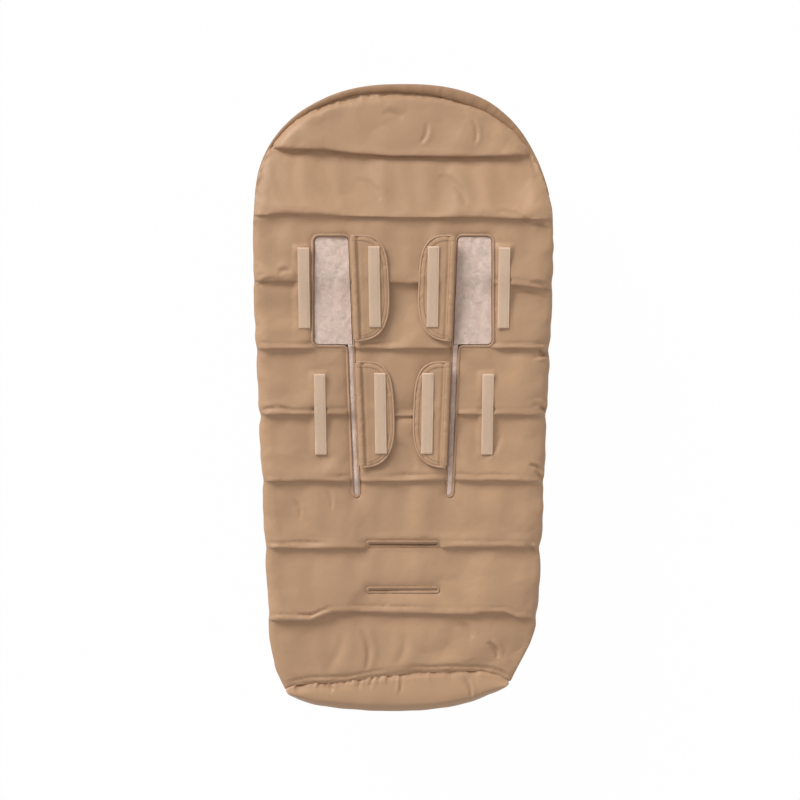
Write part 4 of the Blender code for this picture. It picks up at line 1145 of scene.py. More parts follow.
def closed_strip(name, rows, looks, field=None):
    """A thin strip from rows of (x, y, top, bottom); faces in field get the second look."""
    count, wide = len(rows), len(rows[0])
    verts = [(x, y, top) for row in rows for x, y, top, _ in row]
    verts += [(x, y, low) for row in rows for x, y, _, low in row]
    base = count * wide
    faces, kinds = [], []
    for i in range(count - 1):
        for k in range(wide - 1):
            a = i * wide + k
            quad = (a, a + 1, a + wide + 1, a + wide)
            faces += [quad, tuple(base + v for v in reversed(quad))]
            kinds += [1 if field and field(i, k) else 0, 0]
    sides = [(i * wide + k, wide) for i in range(count - 1) for k in (0, wide - 1)]
    sides += [(i * wide + k, 1) for k in range(wide - 1) for i in (0, count - 1)]
    for a, step in sides:
        faces.append((a, a + step, base + a + step, base + a))
        kinds.append(0)
    strip = made_object(name, verts, faces, looks)
    strip.data.polygons.foreach_set("material_index", kinds)
    return strip


# How far strips lie from the even places, as in the photograph
STRIP_SHIFTS = {
    "shell_tape_upper_left": 0.0018,
    "shell_tape_lower_left": 0.0013,
    "shell_tape_upper_right": 0.0008,
    "shell_tape_lower_right": 0.0015,
    "flap_tape_lower_left": 0.0014,
    "flap_tape_upper_right": 0.0020,
    "flap_tape_lower_right": 0.0014,
}
SEEN_STRIP_WIDTH = 0.0182
STRIP_ACROSS = (-1, -0.93, -0.80, -0.74, -0.4, 0, 0.4, 0.74, 0.80, 0.93, 1)


def hook_strip(kind, word, centre, lean, height, body):
    """A hook-and-loop strip: a plain woven border round a raised field of hooks."""
    name = f"{kind}_tape_{word}"
    cx, cy = centre
    cx += STRIP_SHIFTS.get(name, 0.0)
    steps = np.linspace(-STRIP_LENGTH / 2, STRIP_LENGTH / 2, 54)
    levels = []
    for step in steps:
        y = cy + step
        x = cx + lean * step
        found = [height(x + a * SEEN_STRIP_WIDTH / 2, y) for a in (-1, -0.5, 0, 0.5, 1)]
        levels.append(max(z for z in found if z is not None))
    levels = np.array(levels)
    reach = 9
    crests = [levels[max(i - reach, 0) : i + reach + 1].max() for i in range(len(levels))]
    over = rolling(mixed(np.array(crests), levels, 0.35), 8, closed=False)
    eased = rolling(np.maximum(over, rolling(levels, 2, closed=False)), 2, closed=False)
    rows = []
    for index, step in enumerate(steps):
        row = []
        end = min(index, len(steps) - 1 - index)
        for a in STRIP_ACROSS:
            x = cx + lean * step + a * SEEN_STRIP_WIDTH / 2
            raised = 0.00045 if abs(a) < 0.78 and end >= 1 else 0.00025
            curl = 0.0004 * float(noise(step / 0.02, a * 2 + cx * 50, 51)) * abs(a)
            low = eased[index] + curl
            row.append((x, cy + step, low + STRIP_WALL + raised, low))
        rows.append(row)
    wide = len(STRIP_ACROSS)

    def field(i, k):
        return 1 <= i < len(steps) - 2 and 2 <= k < wide - 3

    strip = closed_strip(name, rows, [STRIP_EDGE, STRIP], field)
    finished(strip, body, [f"{kind}_strip_{word}"])

    def top(x, y):
        return float(np.interp(y - cy, steps, eased)) + STRIP_WALL

    inset = SEEN_STRIP_WIDTH / 2 * 0.86
    low, high = -STRIP_LENGTH / 2 + 0.0014, STRIP_LENGTH / 2 - 0.0014
    path = []
    for sx, sy in ((-inset, low), (inset, low), (inset, high), (-inset, high)):
        path.append((cx + lean * sy + sx, cy + sy))
    spots = stitch_spots(path, top, 0.0028)
    threads = capsule_rows(name + "_stitches", spots, STRIP_EDGE, 0.0018, 0.00022)
    finished(threads, body)


def make_shell_strips(height):
    lean = OPENING_SLOPE * 0.4
    for side, hand in SIDES:
        for level, _, strip_y, shell_x in FLAPS:
            name = f"{level}_{hand}"
            centre = (side * shell_x, strip_y)
            hook_strip("shell", name, centre, side * lean, height, "back")


# Flaps


def flap_outline(width, length, steps=40):
    """A D, rounder at its lower end."""
    points = []
    for step in range(steps + 1):
        angle = mixed(math.pi / 2, -math.pi / 2, step / steps)
        power = 2 / (3.7 if angle > 0 else 2.95)
        rise = signed_power(math.sin(angle), power)
        points.append((max(math.cos(angle), 0) ** power * width, rise * length / 2))
    return points


def make_flap(side, hand, level, flap_y, strip_y, height):
    word = f"{level}_{hand}"
    body = "flap_body_" + word
    turn = -side * math.atan(OPENING_SLOPE)
    hinge = Vector((side * (opening_inner_x(flap_y) - HINGE_SETBACK), flap_y, 0))
    frame_of = Matrix.Translation(hinge) @ Matrix.Rotation(turn, 4, "Z")

    def world(px, py):
        return frame_of @ Vector((-side * px, py, 0))

    samples = {}
    cell = 0.004

    def drape(px, py):
        """The height of the flap's underside, which gives a little into the channels."""
        key = (round(px / cell), round(py / cell))
        if key not in samples:
            places = [world(key[0] * cell, key[1] * cell + 0.005 * k) for k in range(-2, 3)]
            samples[key] = sum(height(place.x, place.y, CREST_Z) for place in places) / len(places)
        low = CREST_Z + GAP
        given = (low - samples[key]) * 0.38 * float(smooth(0.004, 0.02, px))
        return low - min(given, 0.0030)

    wide = FLAP_WIDTH - (0.0030 if side > 0 else 0.0004)
    outline = flap_outline(wide - 0.0024, FLAP_LENGTH - 0.0048)
    rows = np.arange(-0.0825, 0.0825, 0.0026)
    places = (0.0080, 0.0096, 0.0112, 0.0128, 0.0144)
    tab = [np.column_stack([np.full(len(rows), across), rows]) for across in places]
    plan, tris = plan_mesh(outline, [], tab, 0.0042, 60)
    edge = distances(plan, [resampled(outline, 0.0015)])
    px, py = plan[:, 0], plan[:, 1]
    under = np.array([drape(a, b) for a, b in plan])
    under = under + 0.0003 * noise(px / 0.02, py / 0.02, 61)
    groove = bell(px - 0.0112 - 0.0008 * noise(py / 0.03, level == "upper", 64), 0.0016)
    fold = bell(px - 0.018 + 0.10 * np.clip(-py - 0.04, 0, 1), 0.0018) * smooth(0.02, 0.06, -py)
    rise = 0.0011 + 0.0023 * quarter(edge, 0.005) - 0.0042 * groove
    rise += 0.0013 * bell(px - 0.0060, 0.0032)
    rise += 0.0006 * noise(px / 0.012, py / 0.018, 62) + 0.0007 * fold
    rise += 0.0005 * noise(px / 0.03, py / 0.0045, 63) * fading(edge, 0.006)
    seam_line = flap_outline(wide - 0.0105, FLAP_LENGTH - 0.022, 90)
    rise -= 0.0010 * bell(distances(plan, [resampled(seam_line, 0.0015, False)]), 0.0018)
    rise = np.maximum(rise, 0.0004)
    spots = [world(a, b) for a, b in plan]
    face = np.array([(s.x, s.y, u + r) for s, u, r in zip(spots, under, rise)])
    inverse = frame_of.inverted()

    def underside(x, y):
        places = [inverse @ Vector((a, b, 0)) for a, b in zip(x, y)]
        return np.array([drape(-side * p.x, p.y) for p in places])

    cloth = backed("flap_cloth_" + word, *loop_subdivided(face, tris), underside, FLAP, 0.008)
    finished(cloth, body, ["flap_" + word])
    top = surface_of(cloth)

    path = flap_outline(wide - PIPING_RADIUS, FLAP_LENGTH - 2 * PIPING_RADIUS, 90)
    path[0] = (PIPING_RADIUS, path[0][1])
    path[-1] = (PIPING_RADIUS, path[-1][1])
    line = [Vector((*world(a, b)[:2], drape(a, b) + FLAP_WALL / 2)) for a, b in path]
    piping = sweep("flap_cord_" + word, line, PIPING_RADIUS * 1.12, 8, CORD_LIT_SATIN)
    finished(piping, body, ["flap_piping_" + word])

    stitch_line = flap_outline(wide - 0.0090, FLAP_LENGTH - 0.018, 60)
    edge_line = [world(max(a, 0.004), b)[:2] for a, b in stitch_line]
    tab_line = [world(0.0086, y)[:2] for y in (-0.078, 0.079)]
    spots = []
    for line in (edge_line, tab_line):
        spots += stitch_spots(line, top, 0.0036, closed=False)
    threads = capsule_rows("flap_stitches_" + word, spots, STITCH, 0.0026, 0.00048)
    finished(threads, body)

    centre = frame_of @ Vector((-side * FLAP_STRIP_X, strip_y - flap_y, 0))
    lean_of = math.tan(turn + side * math.atan(OPENING_SLOPE) * 0.6)
    hook_strip("flap", word, (centre.x, centre.y), -lean_of, top, body)


def sweep(name, line, radius, sides, look):
    """A tube along points."""
    verts = []
    for index, point in enumerate(line):
        before, after = line[max(index - 1, 0)], line[min(index + 1, len(line) - 1)]
        run = (after - before).normalized()
        side = run.cross(Vector((0, 0, 1))).normalized()
        up = side.cross(run)
        for k in range(sides):
            angle = 2 * math.pi * k / sides
            offset = side * math.cos(angle) + up * math.sin(angle)
            verts.append(point + offset * radius)
    return made_object(name, verts, tube_faces(len(line), sides), look)


# Hood rim and gussets

GUSSET_WALL = 0.0015


def make_rim():
    """The hood's rolled edge, wide at the top and on the right, which tapers away at both ends."""
    count = 420
    angles = np.linspace(0.20, math.pi - 0.20, count)
    outer = np.array([dome_point(a, DOME_HEIGHT + 0.0025) for a in angles])
    outer[:, 0] += 0.0020 * np.sign(outer[:, 0]) * np.sin(angles) ** 0.5
    inner = np.array([dome_point(a, DOME_HEIGHT - RIM_WIDTH) for a in angles])
    run = np.gradient(outer, axis=0)
    run /= np.linalg.norm(run, axis=1, keepdims=True)
    across = np.column_stack([-run[:, 1], run[:, 0]])
    across *= np.sign(np.sum(across * outer, axis=1, keepdims=True))
    width = (outer[:, 1] - inner[:, 1]) * np.abs(run[:, 0])
    steps = np.linalg.norm(np.diff(outer, axis=0), axis=1)
    travelled = np.concatenate([[0], np.cumsum(steps)])
    right = smooth(-0.05, 0.14, outer[:, 0])
    taper = smooth(0, 0.07, travelled) * smooth(0, 0.07, travelled[-1] - travelled)
    ragged = 0.0008 * noise(travelled / 0.012, 0.3, 71)
    ragged = ragged + 0.0010 * noise(travelled / 0.045, 0.7, 72)
    width = (width * mixed(0.60, 1.22, right) + 0.0022 + ragged) * mixed(0.25, 1, taper)
    edge = outer - across * 0.0006 * (1 - taper)[:, None]
    gathers = noise(travelled / 0.0060, 0.4, 73) * 0.0006
    gathers = gathers + noise(travelled / 0.019, 0.6, 74) * 0.0010
    floor = back_floor(outer[:, 1]) + 0.0006
    verts, sides = [], 14
    for k in range(sides):
        angle = 2 * math.pi * k / sides
        reach = width * (1 - math.cos(angle)) / 2
        height = np.maximum(width * 0.62, 0.0035) * mixed(0.5, 1, taper)
        rise = np.maximum(math.sin(angle), -0.5) * height / 2
        place = edge - across * reach[:, None]
        z = np.maximum(floor + height / 2, height / 2) + rise + gathers * max(math.sin(angle), 0)
        verts.append(np.column_stack([place, np.maximum(z, 0.0)]))
    verts = np.stack(verts, axis=1).reshape(-1, 3)
    # the rim's satin carries painted shade
    rim = made_object("rim_band", verts, tube_faces(count, sides), RIM_SHADED_SATIN)
    finished(rim, "back", ["hood_rim"])


def thick_grid(name, points, wall, look):
    """A closed sheet from a grid of points, thickened inward from its outer face."""
    rows, columns = points.shape[:2]
    down, across = np.gradient(points, axis=0), np.gradient(points, axis=1)
    normal = np.cross(across, down)
    normal /= np.maximum(np.linalg.norm(normal, axis=2, keepdims=True), 1e-12)
    middle = points.reshape(-1, 3).mean(axis=0)
    if ((points - middle) * normal).sum() < 0:
        normal = -normal
    inner = points - wall * normal
    verts = np.vstack([points.reshape(-1, 3), inner.reshape(-1, 3)])
    base = rows * columns
    faces = []
    for i in range(rows - 1):
        for k in range(columns - 1):
            a = i * columns + k
            quad = (a, a + 1, a + columns + 1, a + columns)
            faces += [quad, tuple(base + v for v in reversed(quad))]
    loop = list(range(columns))
    loop += [i * columns + columns - 1 for i in range(1, rows)]
    loop += [(rows - 1) * columns + k for k in reversed(range(columns - 1))]
    loop += [i * columns for i in reversed(range(1, rows - 1))]
    for i in range(len(loop)):
        faces.append((loop[i], loop[i - 1], base + loop[i - 1], base + loop[i]))
    return made_object(name, verts, faces, look)


def make_gussets():
    top = BACK_FLOOR_Z + 0.0012
    # The section: how far inward, in shares of the lip, and how high
    knots = [(0.03, top), (0.0, 0.026), (0.03, 0.0165), (0.22, 0.0075), (0.48, 0.0047)]
    knots = np.array([*knots, (0.74, 0.0062), (1.0, ZIP_Z)])
    share = np.linspace(0, 1, len(knots))
    fine = np.linspace(0, 1, 26)
    profile = np.column_stack([np.interp(fine, share, column) for column in knots.T])
    for _ in range(2):
        profile[1:-1] = (profile[:-2] + 2 * profile[1:-1] + profile[2:]) / 4
    levels = np.arange(-0.4620, 0.262, 0.0042)
    nearest = np.min([np.abs(levels - quilt_y(line)) for line in range(QUILT_LINES)], axis=0)
    pinch = bell(nearest, 0.010)
    for side, word in SIDES:
        points = np.zeros((len(levels), len(profile), 3))
        for k, (inward, z) in enumerate(profile):
            waist = 1 - abs(2 * fine[k] - 0.55)
            ripple = noise(levels / 0.010, k / 5.0 + side, 81) * 0.0007
            ripple += noise(levels / 0.035, k / 9.0 + side, 82) * 0.0012
            hold = smooth(0, 0.12, fine[k]) * smooth(0, 0.15, 1 - fine[k])
            x = half_width(levels) - SIDE_DRAW * (0.3 + 0.7 * pinch) - LIP * inward
            x = x + (ripple - 0.0018 * pinch * max(waist, 0)) * hold
            lift = 0.0008 * noise(levels / 0.02, k / 4.0, 83) * hold
            points[:, k] = np.column_stack([side * x, levels, z + lift])
        gusset = thick_grid("gusset_" + word, points, GUSSET_WALL, SHELL)
        finished(gusset, "back", ["side_gusset_" + word])


def make_foot_gusset():
    top = BACK_FLOOR_Z + END_VALLEY + 0.0016
    low = 0.0075
    middle, half = (top + low) / 2, (top - low) / 2
    across = np.linspace(-0.994, 0.994, 190)
    angles = np.linspace(-math.pi / 2, math.pi / 2, 46)
    points = np.zeros((len(angles), len(across), 3))
    x = across * (HALF_WIDTH_CORNER - SIDE_DRAW * 0.4)
    seam = foot_seam_y(x) + 0.0006
    bottom = FOOT_CORNER_Y - (FOOT_ARC_DROP + 0.0035) * np.sqrt(1 - across**2)
    bottom = bottom + 0.0006 * noise(x / 0.022, 0, 94)
    depth = seam - bottom
    inner = smooth(0, 0.014, depth)
    left = 1 - smooth(-0.02, 0.01, x)
    for i, angle in enumerate(angles):
        out = abs(math.cos(angle)) ** 0.62
        y = mixed(seam, bottom, out)
        upper = angle > 0
        rise = 0.0064 * float(smooth(0, 0.75, out) * (1 - smooth(0.78, 1.0, out))) * upper
        swell = signed_power(math.sin(angle), 0.45 if upper else 1)
        from_seam = (seam - y) if upper else np.full(len(x), 0.05)
        gathers = noise(x / 0.0050, 0.3, 91) * fading(from_seam, 0.0055) * mixed(0.5, 1.5, left)
        gathers = gathers + 0.9 * noise(x / 0.017, 0.6, 92) * fading(from_seam, 0.012)
        soft = noise(x / 0.055, angle * 1.1, 93) * math.cos(angle)
        soft = soft + noise(x / 0.030, angle * 1.6, 95) * 0.5
        lit = float(smooth(-0.2, 0.6, angle))
        z = middle + half * swell + (0.0022 * gathers * lit + 0.0017 * soft * lit + rise) * inner
        points[i] = np.column_stack([x, y + (0.0004 * soft) * inner, z])
    flat = points.reshape(-1, 3)
    dented = creased(flat, FOOT_FOLDS)
    flat = np.where(flat[:, 2:] > middle, dented, flat)
    gusset = thick_grid("foot_end", flat.reshape(points.shape), GUSSET_WALL, SHELL)
    finished(gusset, "back", ["foot_gusset"])


# Front: toe, cover and collar, with their linings


def cover_reach(y):
    return half_width(y) - SIDE_DRAW - LIP - 2 * ZIP_HALF


def toe_reach(y):
    return half_width(y) - SIDE_DRAW - LIP - GAP


def collar_reach(y):
    return half_width(y) - SIDE_DRAW - LIP - 0.0036


def front_spans():
    toe_y, collar_y = quilt_y(TOE_LINE), quilt_y(COLLAR_LINE)
    return {
        "toe": (toe_reach, FOOT_CORNER_Y, toe_y - GAP / 2),
        "cover": (cover_reach, toe_y + GAP / 2, collar_y - GAP / 2),
        "collar": (collar_reach, collar_y + GAP / 2, COLLAR_TOP_Y),
    }


def front_outline(reach, low, high):
    levels = np.linspace(low, high, 60)
    sides = reach(levels)
    if low == FOOT_CORNER_Y:
        xs = np.linspace(-sides[0], sides[0], 60)
        bottom = [(x, foot_seam_y(x)) for x in xs]
    else:
        bottom = [(-sides[0], low), (sides[0], low)]
    right = list(zip(sides, levels))[1:]
    left = [(-x, y) for x, y in zip(sides, levels)][1:][::-1]
    return [(float(x), float(y)) for x, y in [*bottom, *right, *left]]


# The inner side of a front panel: its heights at the edge and in the middle
FRONT_ROOF, FRONT_ROUND_OFF = (0.0117, 0.0188), 0.022
# The toe's puff ends short of the foot seam
TOE_PUFF_LOW_Y = -0.447


def front_rows(y, low, high):
    """How far down its channel each place on a front panel is, and how far from a seam."""
    low = TOE_PUFF_LOW_Y if low == FOOT_CORNER_Y else low
    seams = [quilt_y(i) for i in range(QUILT_LINES) if low < quilt_y(i) < high]
    edges = sorted({low, high, *seams})
    share = np.zeros(len(y))
    distance = np.full(len(y), 1.0)
    for a, b in zip(edges, edges[1:]):
        at = (y >= a) & (y <= b)
        share = np.where(at, (b - y) / (b - a), share)
        distance = np.where(at, np.minimum(y - a, b - y), distance)
    return share, distance


def make_front():
    jobs, rest = [], []
    for kind, (reach, low, high) in front_spans().items():
        outline = front_outline(reach, low, high)
        lines = []
        across = np.arange(-0.24, 0.24, 0.005)
        seams = [i for i in range(QUILT_LINES) if low + 0.01 < quilt_y(i) < high - 0.01]
        for i in seams:
            for offset in (0, 0.004, -0.004):
                lines.append(np.column_stack([across, np.full(len(across), quilt_y(i) + offset)]))
        plan, tris = plan_mesh(outline, [], lines, 0.0078, 100 + len(jobs))
        x, y = plan[:, 0], plan[:, 1]
        share, _ = front_rows(y, low, high)
        round_off = quarter(distances(plan, [resampled(outline, 0.003)]), FRONT_ROUND_OFF)
        face_z = mixed(0.0105, 0.0085 - 0.0078 * arch(share, 0.55), round_off)
        held = list(np.unique(boundary_edges(tris)))
        if seams:
            gaps = np.min([np.abs(y - quilt_y(i)) for i in seams], axis=0)
            held += list(np.where(gaps < ON_SEAM)[0])
        face = np.column_stack([x, y, face_z])
        roof = mixed(*FRONT_ROOF, round_off)
        jobs.append((face, tris, roof, np.unique(held), 3.0, 0.15, 0.0040))
        rest.append((kind, outline, low, high))
    return jobs, rest


def fold_at(line, lower, upper):
    start = (0, quilt_y(line), ZIP_Z)
    return (lower, upper, start, (0, quilt_y(line) + FOLD_RUN, ZIP_Z))


def finish_front(rest, ends, jobs, height):
    bodies = {
        "toe": "back",
        "cover": fold_at(TOE_LINE, "back", "cover"),
        "collar": fold_at(COLLAR_LINE, "cover", "collar"),
    }
    for (kind, outline, low, high), verts, job in zip(rest, ends, jobs):
        verts, tris = loop_subdivided(verts, job[1])
        x, y, z = verts.T
        edge = [resampled(outline, 0.003)]
        face = smooth(0, 0.012, distances(verts[:, :2], edge))
        _, near = front_rows(y, low, high)
        pleats = noise(x / 0.009, np.round(y / 0.05), 111) * fading(near, 0.010) * 0.0012
        facets = np.abs(noise((x + y * 0.6) / 0.05, (y - x * 0.4) / 0.04, 112)) * 0.0012
        z = np.maximum(z + (pleats + facets - 0.0004) * face, 0.0002)
        if kind == "collar":
            beside = np.abs(np.abs(x) - zip_place(1, quilt_y(COLLAR_LINE)))
            notch = (1 - smooth(0.0066, 0.0100, beside)) * (1 - smooth(0.201, 0.208, y))
            z = np.maximum(z, mixed(0, 0.0098, notch))
        verts[:, 2] = z

        def roof(px, py):
            side = distances(np.column_stack([px, py]), edge)
            return mixed(*FRONT_ROOF, quarter(side, FRONT_ROUND_OFF))

        panel = backed(kind + "_panel", verts, tris, roof, SHELL)
        finished(panel, bodies[kind], [kind + "_shell", kind + "_padding"])
        make_front_lining(kind, outline, low, high, bodies[kind], height)


def window_outline(side, inset=0.0):
    """A window of the back, without the slit below it."""
    top, sill, outer = WINDOW_TOP_Y - inset, WINDOW_BOTTOM_Y + inset, WINDOW_OUTER_X - inset
    corners = [
        (opening_inner_x(sill) + inset, sill),
        (outer, sill),
        (outer, top),
        (opening_inner_x(top) + inset, top),
    ]
    points = rounded(corners, [0.0015, *[max(WINDOW_CORNER - inset, 0.002)] * 3])
    return [(side * x, y) for x, y in points]


def window_levels(height):
    """How high the back's cloth lies beside the windows, by the place along."""
    levels = np.linspace(WINDOW_BOTTOM_Y, WINDOW_TOP_Y, 50)
    lowest = []
    for y in levels:
        beside = [height(side * (WINDOW_OUTER_X + 0.006), y) for side, _ in SIDES]
        beside += [height(side * (opening_inner_x(y) - 0.006), y) for side, _ in SIDES]
        lowest.append(min(z for z in beside if z is not None))
    return levels, rolling(np.array(lowest), 6, closed=False)


def window_share(verts):
    """Which places of the front's fleece swell up into the windows of the back."""
    share = np.zeros(len(verts))
    for side, _ in SIDES:
        outline = window_outline(side)
        within = inside(verts[:, :2], outline)
        depth = distances(verts[within, :2], [resampled(outline, 0.001)])
        share[within] = smooth(0, 0.0010, depth)
    return share


def make_front_lining(kind, outline, low, high, body, height):
    """The fleece of a front panel; where two panels meet, it keeps its full height."""
    reach = {"toe": toe_reach, "cover": cover_reach, "collar": collar_reach}[kind]
    frames = []
    if kind != "toe":
        insets = (-0.0002, 0.0003, 0.0008, 0.0014)
        shapes = [window_outline(side, inset) for side, _ in SIDES for inset in insets]
        frames = [resampled(shape, 0.0024) for shape in shapes]
    if kind == "collar":
        outline = [(x, y - 0.0005 if y < low + 1e-6 else y) for x, y in outline]
    plan, tris = plan_mesh(outline, [], frames, 0.0080 if kind != "toe" else 0.011, 130, 0.04)
    verts, tris = loop_subdivided(np.column_stack([plan, np.zeros(len(plan))]), tris)
    x, y = verts[:, 0], verts[:, 1]

    def rounding(px, py):
        side = reach(py) - np.abs(px)
        if kind == "collar":
            side = np.minimum(side, high - py)
        if kind == "toe":
            side = np.minimum(side, py - foot_seam_y(px))
        return quarter(side, 0.020)

    round_off = rounding(x, y)
    share, _ = front_rows(y, low, high)
    puff = arch(share, 0.5)
    roof = mixed(0.0128, COVER_ROOF_Z, round_off)
    pile = 0.0006 * noise(x / 0.006, y / 0.006, 131) + 0.0008 * noise(x / 0.017, y / 0.017, 132)
    swell = window_share(verts)
    clumps = 0.0006 * noise(x / 0.0045 + 0.6 * noise(x / 0.02, y / 0.02, 134), y / 0.008, 133)
    streaks = 0.0010 * noise(x / 0.009 + 0.8 * noise(x / 0.03, y / 0.03, 135), y / 0.035, 136)
    window = np.interp(y, *window_levels(height)) - 0.0026 + clumps + streaks
    verts[:, 2] = mixed(roof + 0.0022 * puff * round_off + pile * round_off, window, swell)

    def under(px, py):
        return mixed(0.0120, 0.0194, rounding(px, py))

    cloth = backed(kind + "_fleece", verts, tris, under, FLEECE)
    cloth.data.set_sharp_from_angle(angle=math.radians(50))
    finished(cloth, body, [kind + "_lining"])
    width = 2 * float(np.max(plan[:, 0]))


def make_back_lining():
    outline = [(x * 0.996, y) for x, y in back_outline()]
    holes = all_openings(0.0018, 0.0014)
    plan, tris = plan_mesh(outline, holes, [], 0.012, 140)
    verts, tris = loop_subdivided(np.column_stack([plan, np.zeros(len(plan))]), tris)
    x, y = verts[:, 0], verts[:, 1]
    side = distances(verts[:, :2], [resampled(outline, 0.003)])
    share, _, _, _ = channel_places(x, y)
    puff = arch(share, 0.5) * smooth(0, 0.02, side)
    pile = 0.0007 * noise(x / 0.009, y / 0.009, 141)
    low = back_floor(y) - 0.0014 - (0.0018 * puff + pile * smooth(0, 0.01, side))
    verts[:, 2] = np.maximum(low, 0.0003)
    cloth = backed("back_fleece", verts, tris, lambda px, py: back_floor(py) - 0.0001, FLEECE)
    finished(cloth, "back", ["back_lining"])


def make_slit_fleece(height):
    """The lining's rolled edge, which shows light in each slit."""
    for side, word in SIDES:
        verts = []
        half, half_height = SLIT_WIDTH / 2 + 0.0005, 0.0048
        levels = SLIT_END_Y + np.array([0.0002, 0.0007, 0.0014, 0.0023])
        upper = np.arange(SLIT_END_Y + 0.0036, WINDOW_BOTTOM_Y + 0.003, 0.003)
        levels = np.concatenate([levels, upper])
        beside = [height(side * (opening_inner_x(y) + SLIT_WIDTH + 0.006), y) for y in levels]
        beside = rolling(np.array([z if z is not None else 0.046 for z in beside]), 3, closed=False)
        for y, near in zip(levels, beside):
            short = max(1 - (y - SLIT_END_Y + 0.0004) / half, 0)
            x = side * (opening_inner_x(y) + SLIT_WIDTH / 2)
            z = near - 0.0012 - half_height - 0.0008 * short
            z = z + 0.0003 * float(noise(y / 0.012, side, 151))
            wide = half * math.sqrt(1 - short**2)
            for k in range(14):
                angle = 2 * math.pi * (k + 0.5) / 14
                across = signed_power(math.cos(angle), 0.45)
                up = signed_power(math.sin(angle), 0.45)
                verts.append((x + wide * across, y, z + half_height * up))
        roll = made_object("slit_fleece_" + word, verts, tube_faces(len(levels), 14), FLEECE)
        finished(roll, "back")


# Zips


def zip_place(side, y):
    return side * (float(half_width(y)) - SIDE_DRAW - LIP - ZIP_HALF)


def make_zips():
    low_y, high_y = TAPER_END_Y, TAPER_TOP_Y - 0.002
    fold = fold_at(TOE_LINE, "back", "cover")
    for side, word in SIDES:
        x0, x1 = zip_place(side, low_y), zip_place(side, high_y)
        run = Vector((x1 - x0, high_y - low_y, 0))
        length = run.length
        run.normalize()
        out = Vector((run.y, -run.x, 0)) * (1 if side > 0 else -1)
        for half, direction, body in (("body", 1, "back"), ("cover", -1, fold)):
            start = Vector((x0, low_y, ZIP_Z))
            centre = start + out * (direction * COIL_SPACING / 2)
            turns = int(length / 0.0020)
            line = []
            for step in range(turns * 6):
                angle = 2 * math.pi * step / 6
                along = length * step / (turns * 6)
                ring_out = out * (math.cos(angle) * (COIL_RADIUS - 0.0003))
                place = centre + run * along + ring_out
                line.append(place + Vector((0, 0, math.sin(angle) * (COIL_RADIUS - 0.0003))))
            coil = sweep(f"zip_teeth_{half}_{word}", line, 0.0003, 3, COIL)
            finished(coil, body, [f"zip_coil_{half}_{word}"])
            near = COIL_SPACING / 2 + COIL_RADIUS + GAP
            rows = []
            for along in np.linspace(0, length, 170):
                row = []
                for share in (-0.16, 0, 0.1, 0.5, 0.9, 1):
                    place = start + run * along + out * (direction * (near + TAPE_WIDTH * share))
                    lift = 0.0003 if share in (0, 0.1) else 0
                    ripple = 0.00025 * float(noise(along / 0.03, share + side, 161))
                    top = ZIP_Z + 0.0004 + lift + ripple
                    row.append((place.x, place.y, top, ZIP_Z - 0.0004 + ripple))
                rows.append(row)
            tape = closed_strip(f"zip_web_{half}_{word}", rows, ZIP)
            finished(tape, body, [f"zip_tape_{half}_{word}"])


def dress_metal():
    for name in frame["nodes"]:
        if name.startswith(("zip_stop", "zip_slider", "zip_pull")):
            obj = bpy.data.objects[name]
            for index in range(len(obj.material_slots)):
                obj.material_slots[index].material = METAL


# Stage, light and camera


# The floor is clear of the cover when that folds down, so that it shows when it is open
FLOOR_Z, FLOOR_REACH = -0.130, 9
# How much of the floor's white is its own, which leaves the muff's shadow faint
GLOW_SHARE = 0.985
WORLD_LIGHT = 0.50


def seen_of(tree):
    """1 for rays from the camera, by way of glossy or clear surfaces too."""
    path = node(tree, "LightPath").outputs
    seen = math_of(tree, "MAXIMUM", path["Is Camera Ray"], path["Is Glossy Ray"])
    return math_of(tree, "MAXIMUM", seen, path["Is Transmission Ray"])


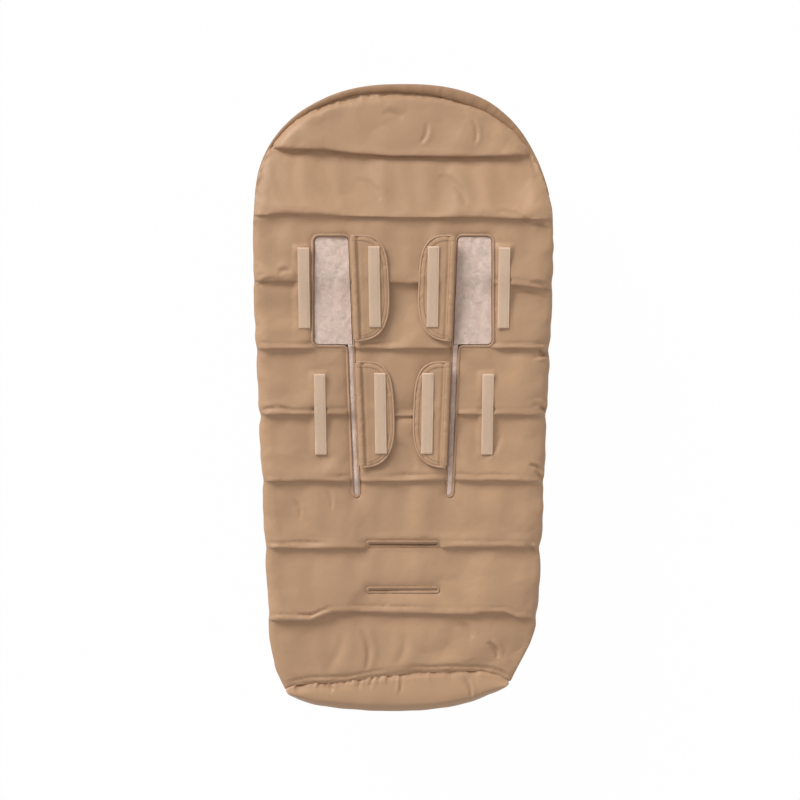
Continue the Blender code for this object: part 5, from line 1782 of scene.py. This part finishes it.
def make_stage():
    """A white floor and world that light the muff at a plain level."""
    reach, low = FLOOR_REACH, FLOOR_Z
    signs = ((-1, -1), (1, -1), (1, 1), (-1, 1))
    corners = [(x * reach, y * reach, low) for x, y in signs]
    floor = made_object("floor", corners, [(0, 1, 2, 3)], [])
    made, tree, shader = new_material("floor_paint", (0.95, 0.95, 0.95), 0.9)
    put(tree, shader, {"Specular IOR Level": 0.0})
    glow = node(tree, "Emission", {"Color": (1, 1, 1, 1), "Strength": 1.0}).outputs[0]
    share = math_of(tree, "MULTIPLY", seen_of(tree), GLOW_SHARE)
    blend = node(tree, "MixShader", {0: share, 1: shader.outputs[0], 2: glow})
    tree.links.new(blend.outputs[0], tree.nodes["Material Output"].inputs["Surface"])
    floor.data.materials.append(made)
    world = bpy.data.worlds.new("studio")
    bpy.context.scene.world = world
    world.use_nodes = True
    tree = world.node_tree
    level = ramp_of(tree, seen_of(tree), 0, 1, WORLD_LIGHT, 1.0)
    put(tree, tree.nodes["Background"], {"Color": (1, 1, 1, 1), "Strength": level})


def add_sun(name, strength, direction, degrees):
    """A sun of a width in degrees that shines from a direction."""
    lamp = bpy.data.lights.new(name, "SUN")
    lamp.energy, lamp.angle = strength, math.radians(degrees)
    obj = bpy.data.objects.new(name, lamp)
    obj.location = Vector(direction).normalized() * 3
    obj.rotation_euler = Vector(direction).normalized().to_track_quat("Z", "Y").to_euler()
    bpy.context.scene.collection.objects.link(obj)


def make_light_and_camera():
    add_sun("key", 2.5, (-0.58, 0.70, 0.44), 28)
    add_sun("fill", 0.10, (0.5, -0.6, 0.9), 60)
    data = bpy.data.cameras.new("camera")
    data.lens, data.sensor_width = 100, 36
    data.clip_end = 60
    camera = bpy.data.objects.new("camera", data)
    camera.location = (-0.0048, -0.0056, 3.592)
    bpy.context.scene.collection.objects.link(camera)
    bpy.context.scene.camera = camera
    bpy.context.scene.view_settings.view_transform = "Standard"


def main():
    make_light_and_camera()
    make_stage()
    job, rim_lines, hole_lines = make_back()
    jobs, rest = make_front()
    back_end, *front_ends = inflate([job, *jobs])
    panel = finish_back(job[0], back_end, job[1], rim_lines, hole_lines)
    height = surface_of(panel)
    finish_front(rest, front_ends, jobs, height)
    make_bindings(height)
    make_back_lining()
    make_slit_fleece(height)
    make_shell_strips(height)
    for side, hand in SIDES:
        for level, flap_y, strip_y, _ in FLAPS:
            make_flap(side, hand, level, flap_y, strip_y, height)
    make_rim()
    make_gussets()
    make_foot_gusset()
    make_zips()
    dress_metal()


main()
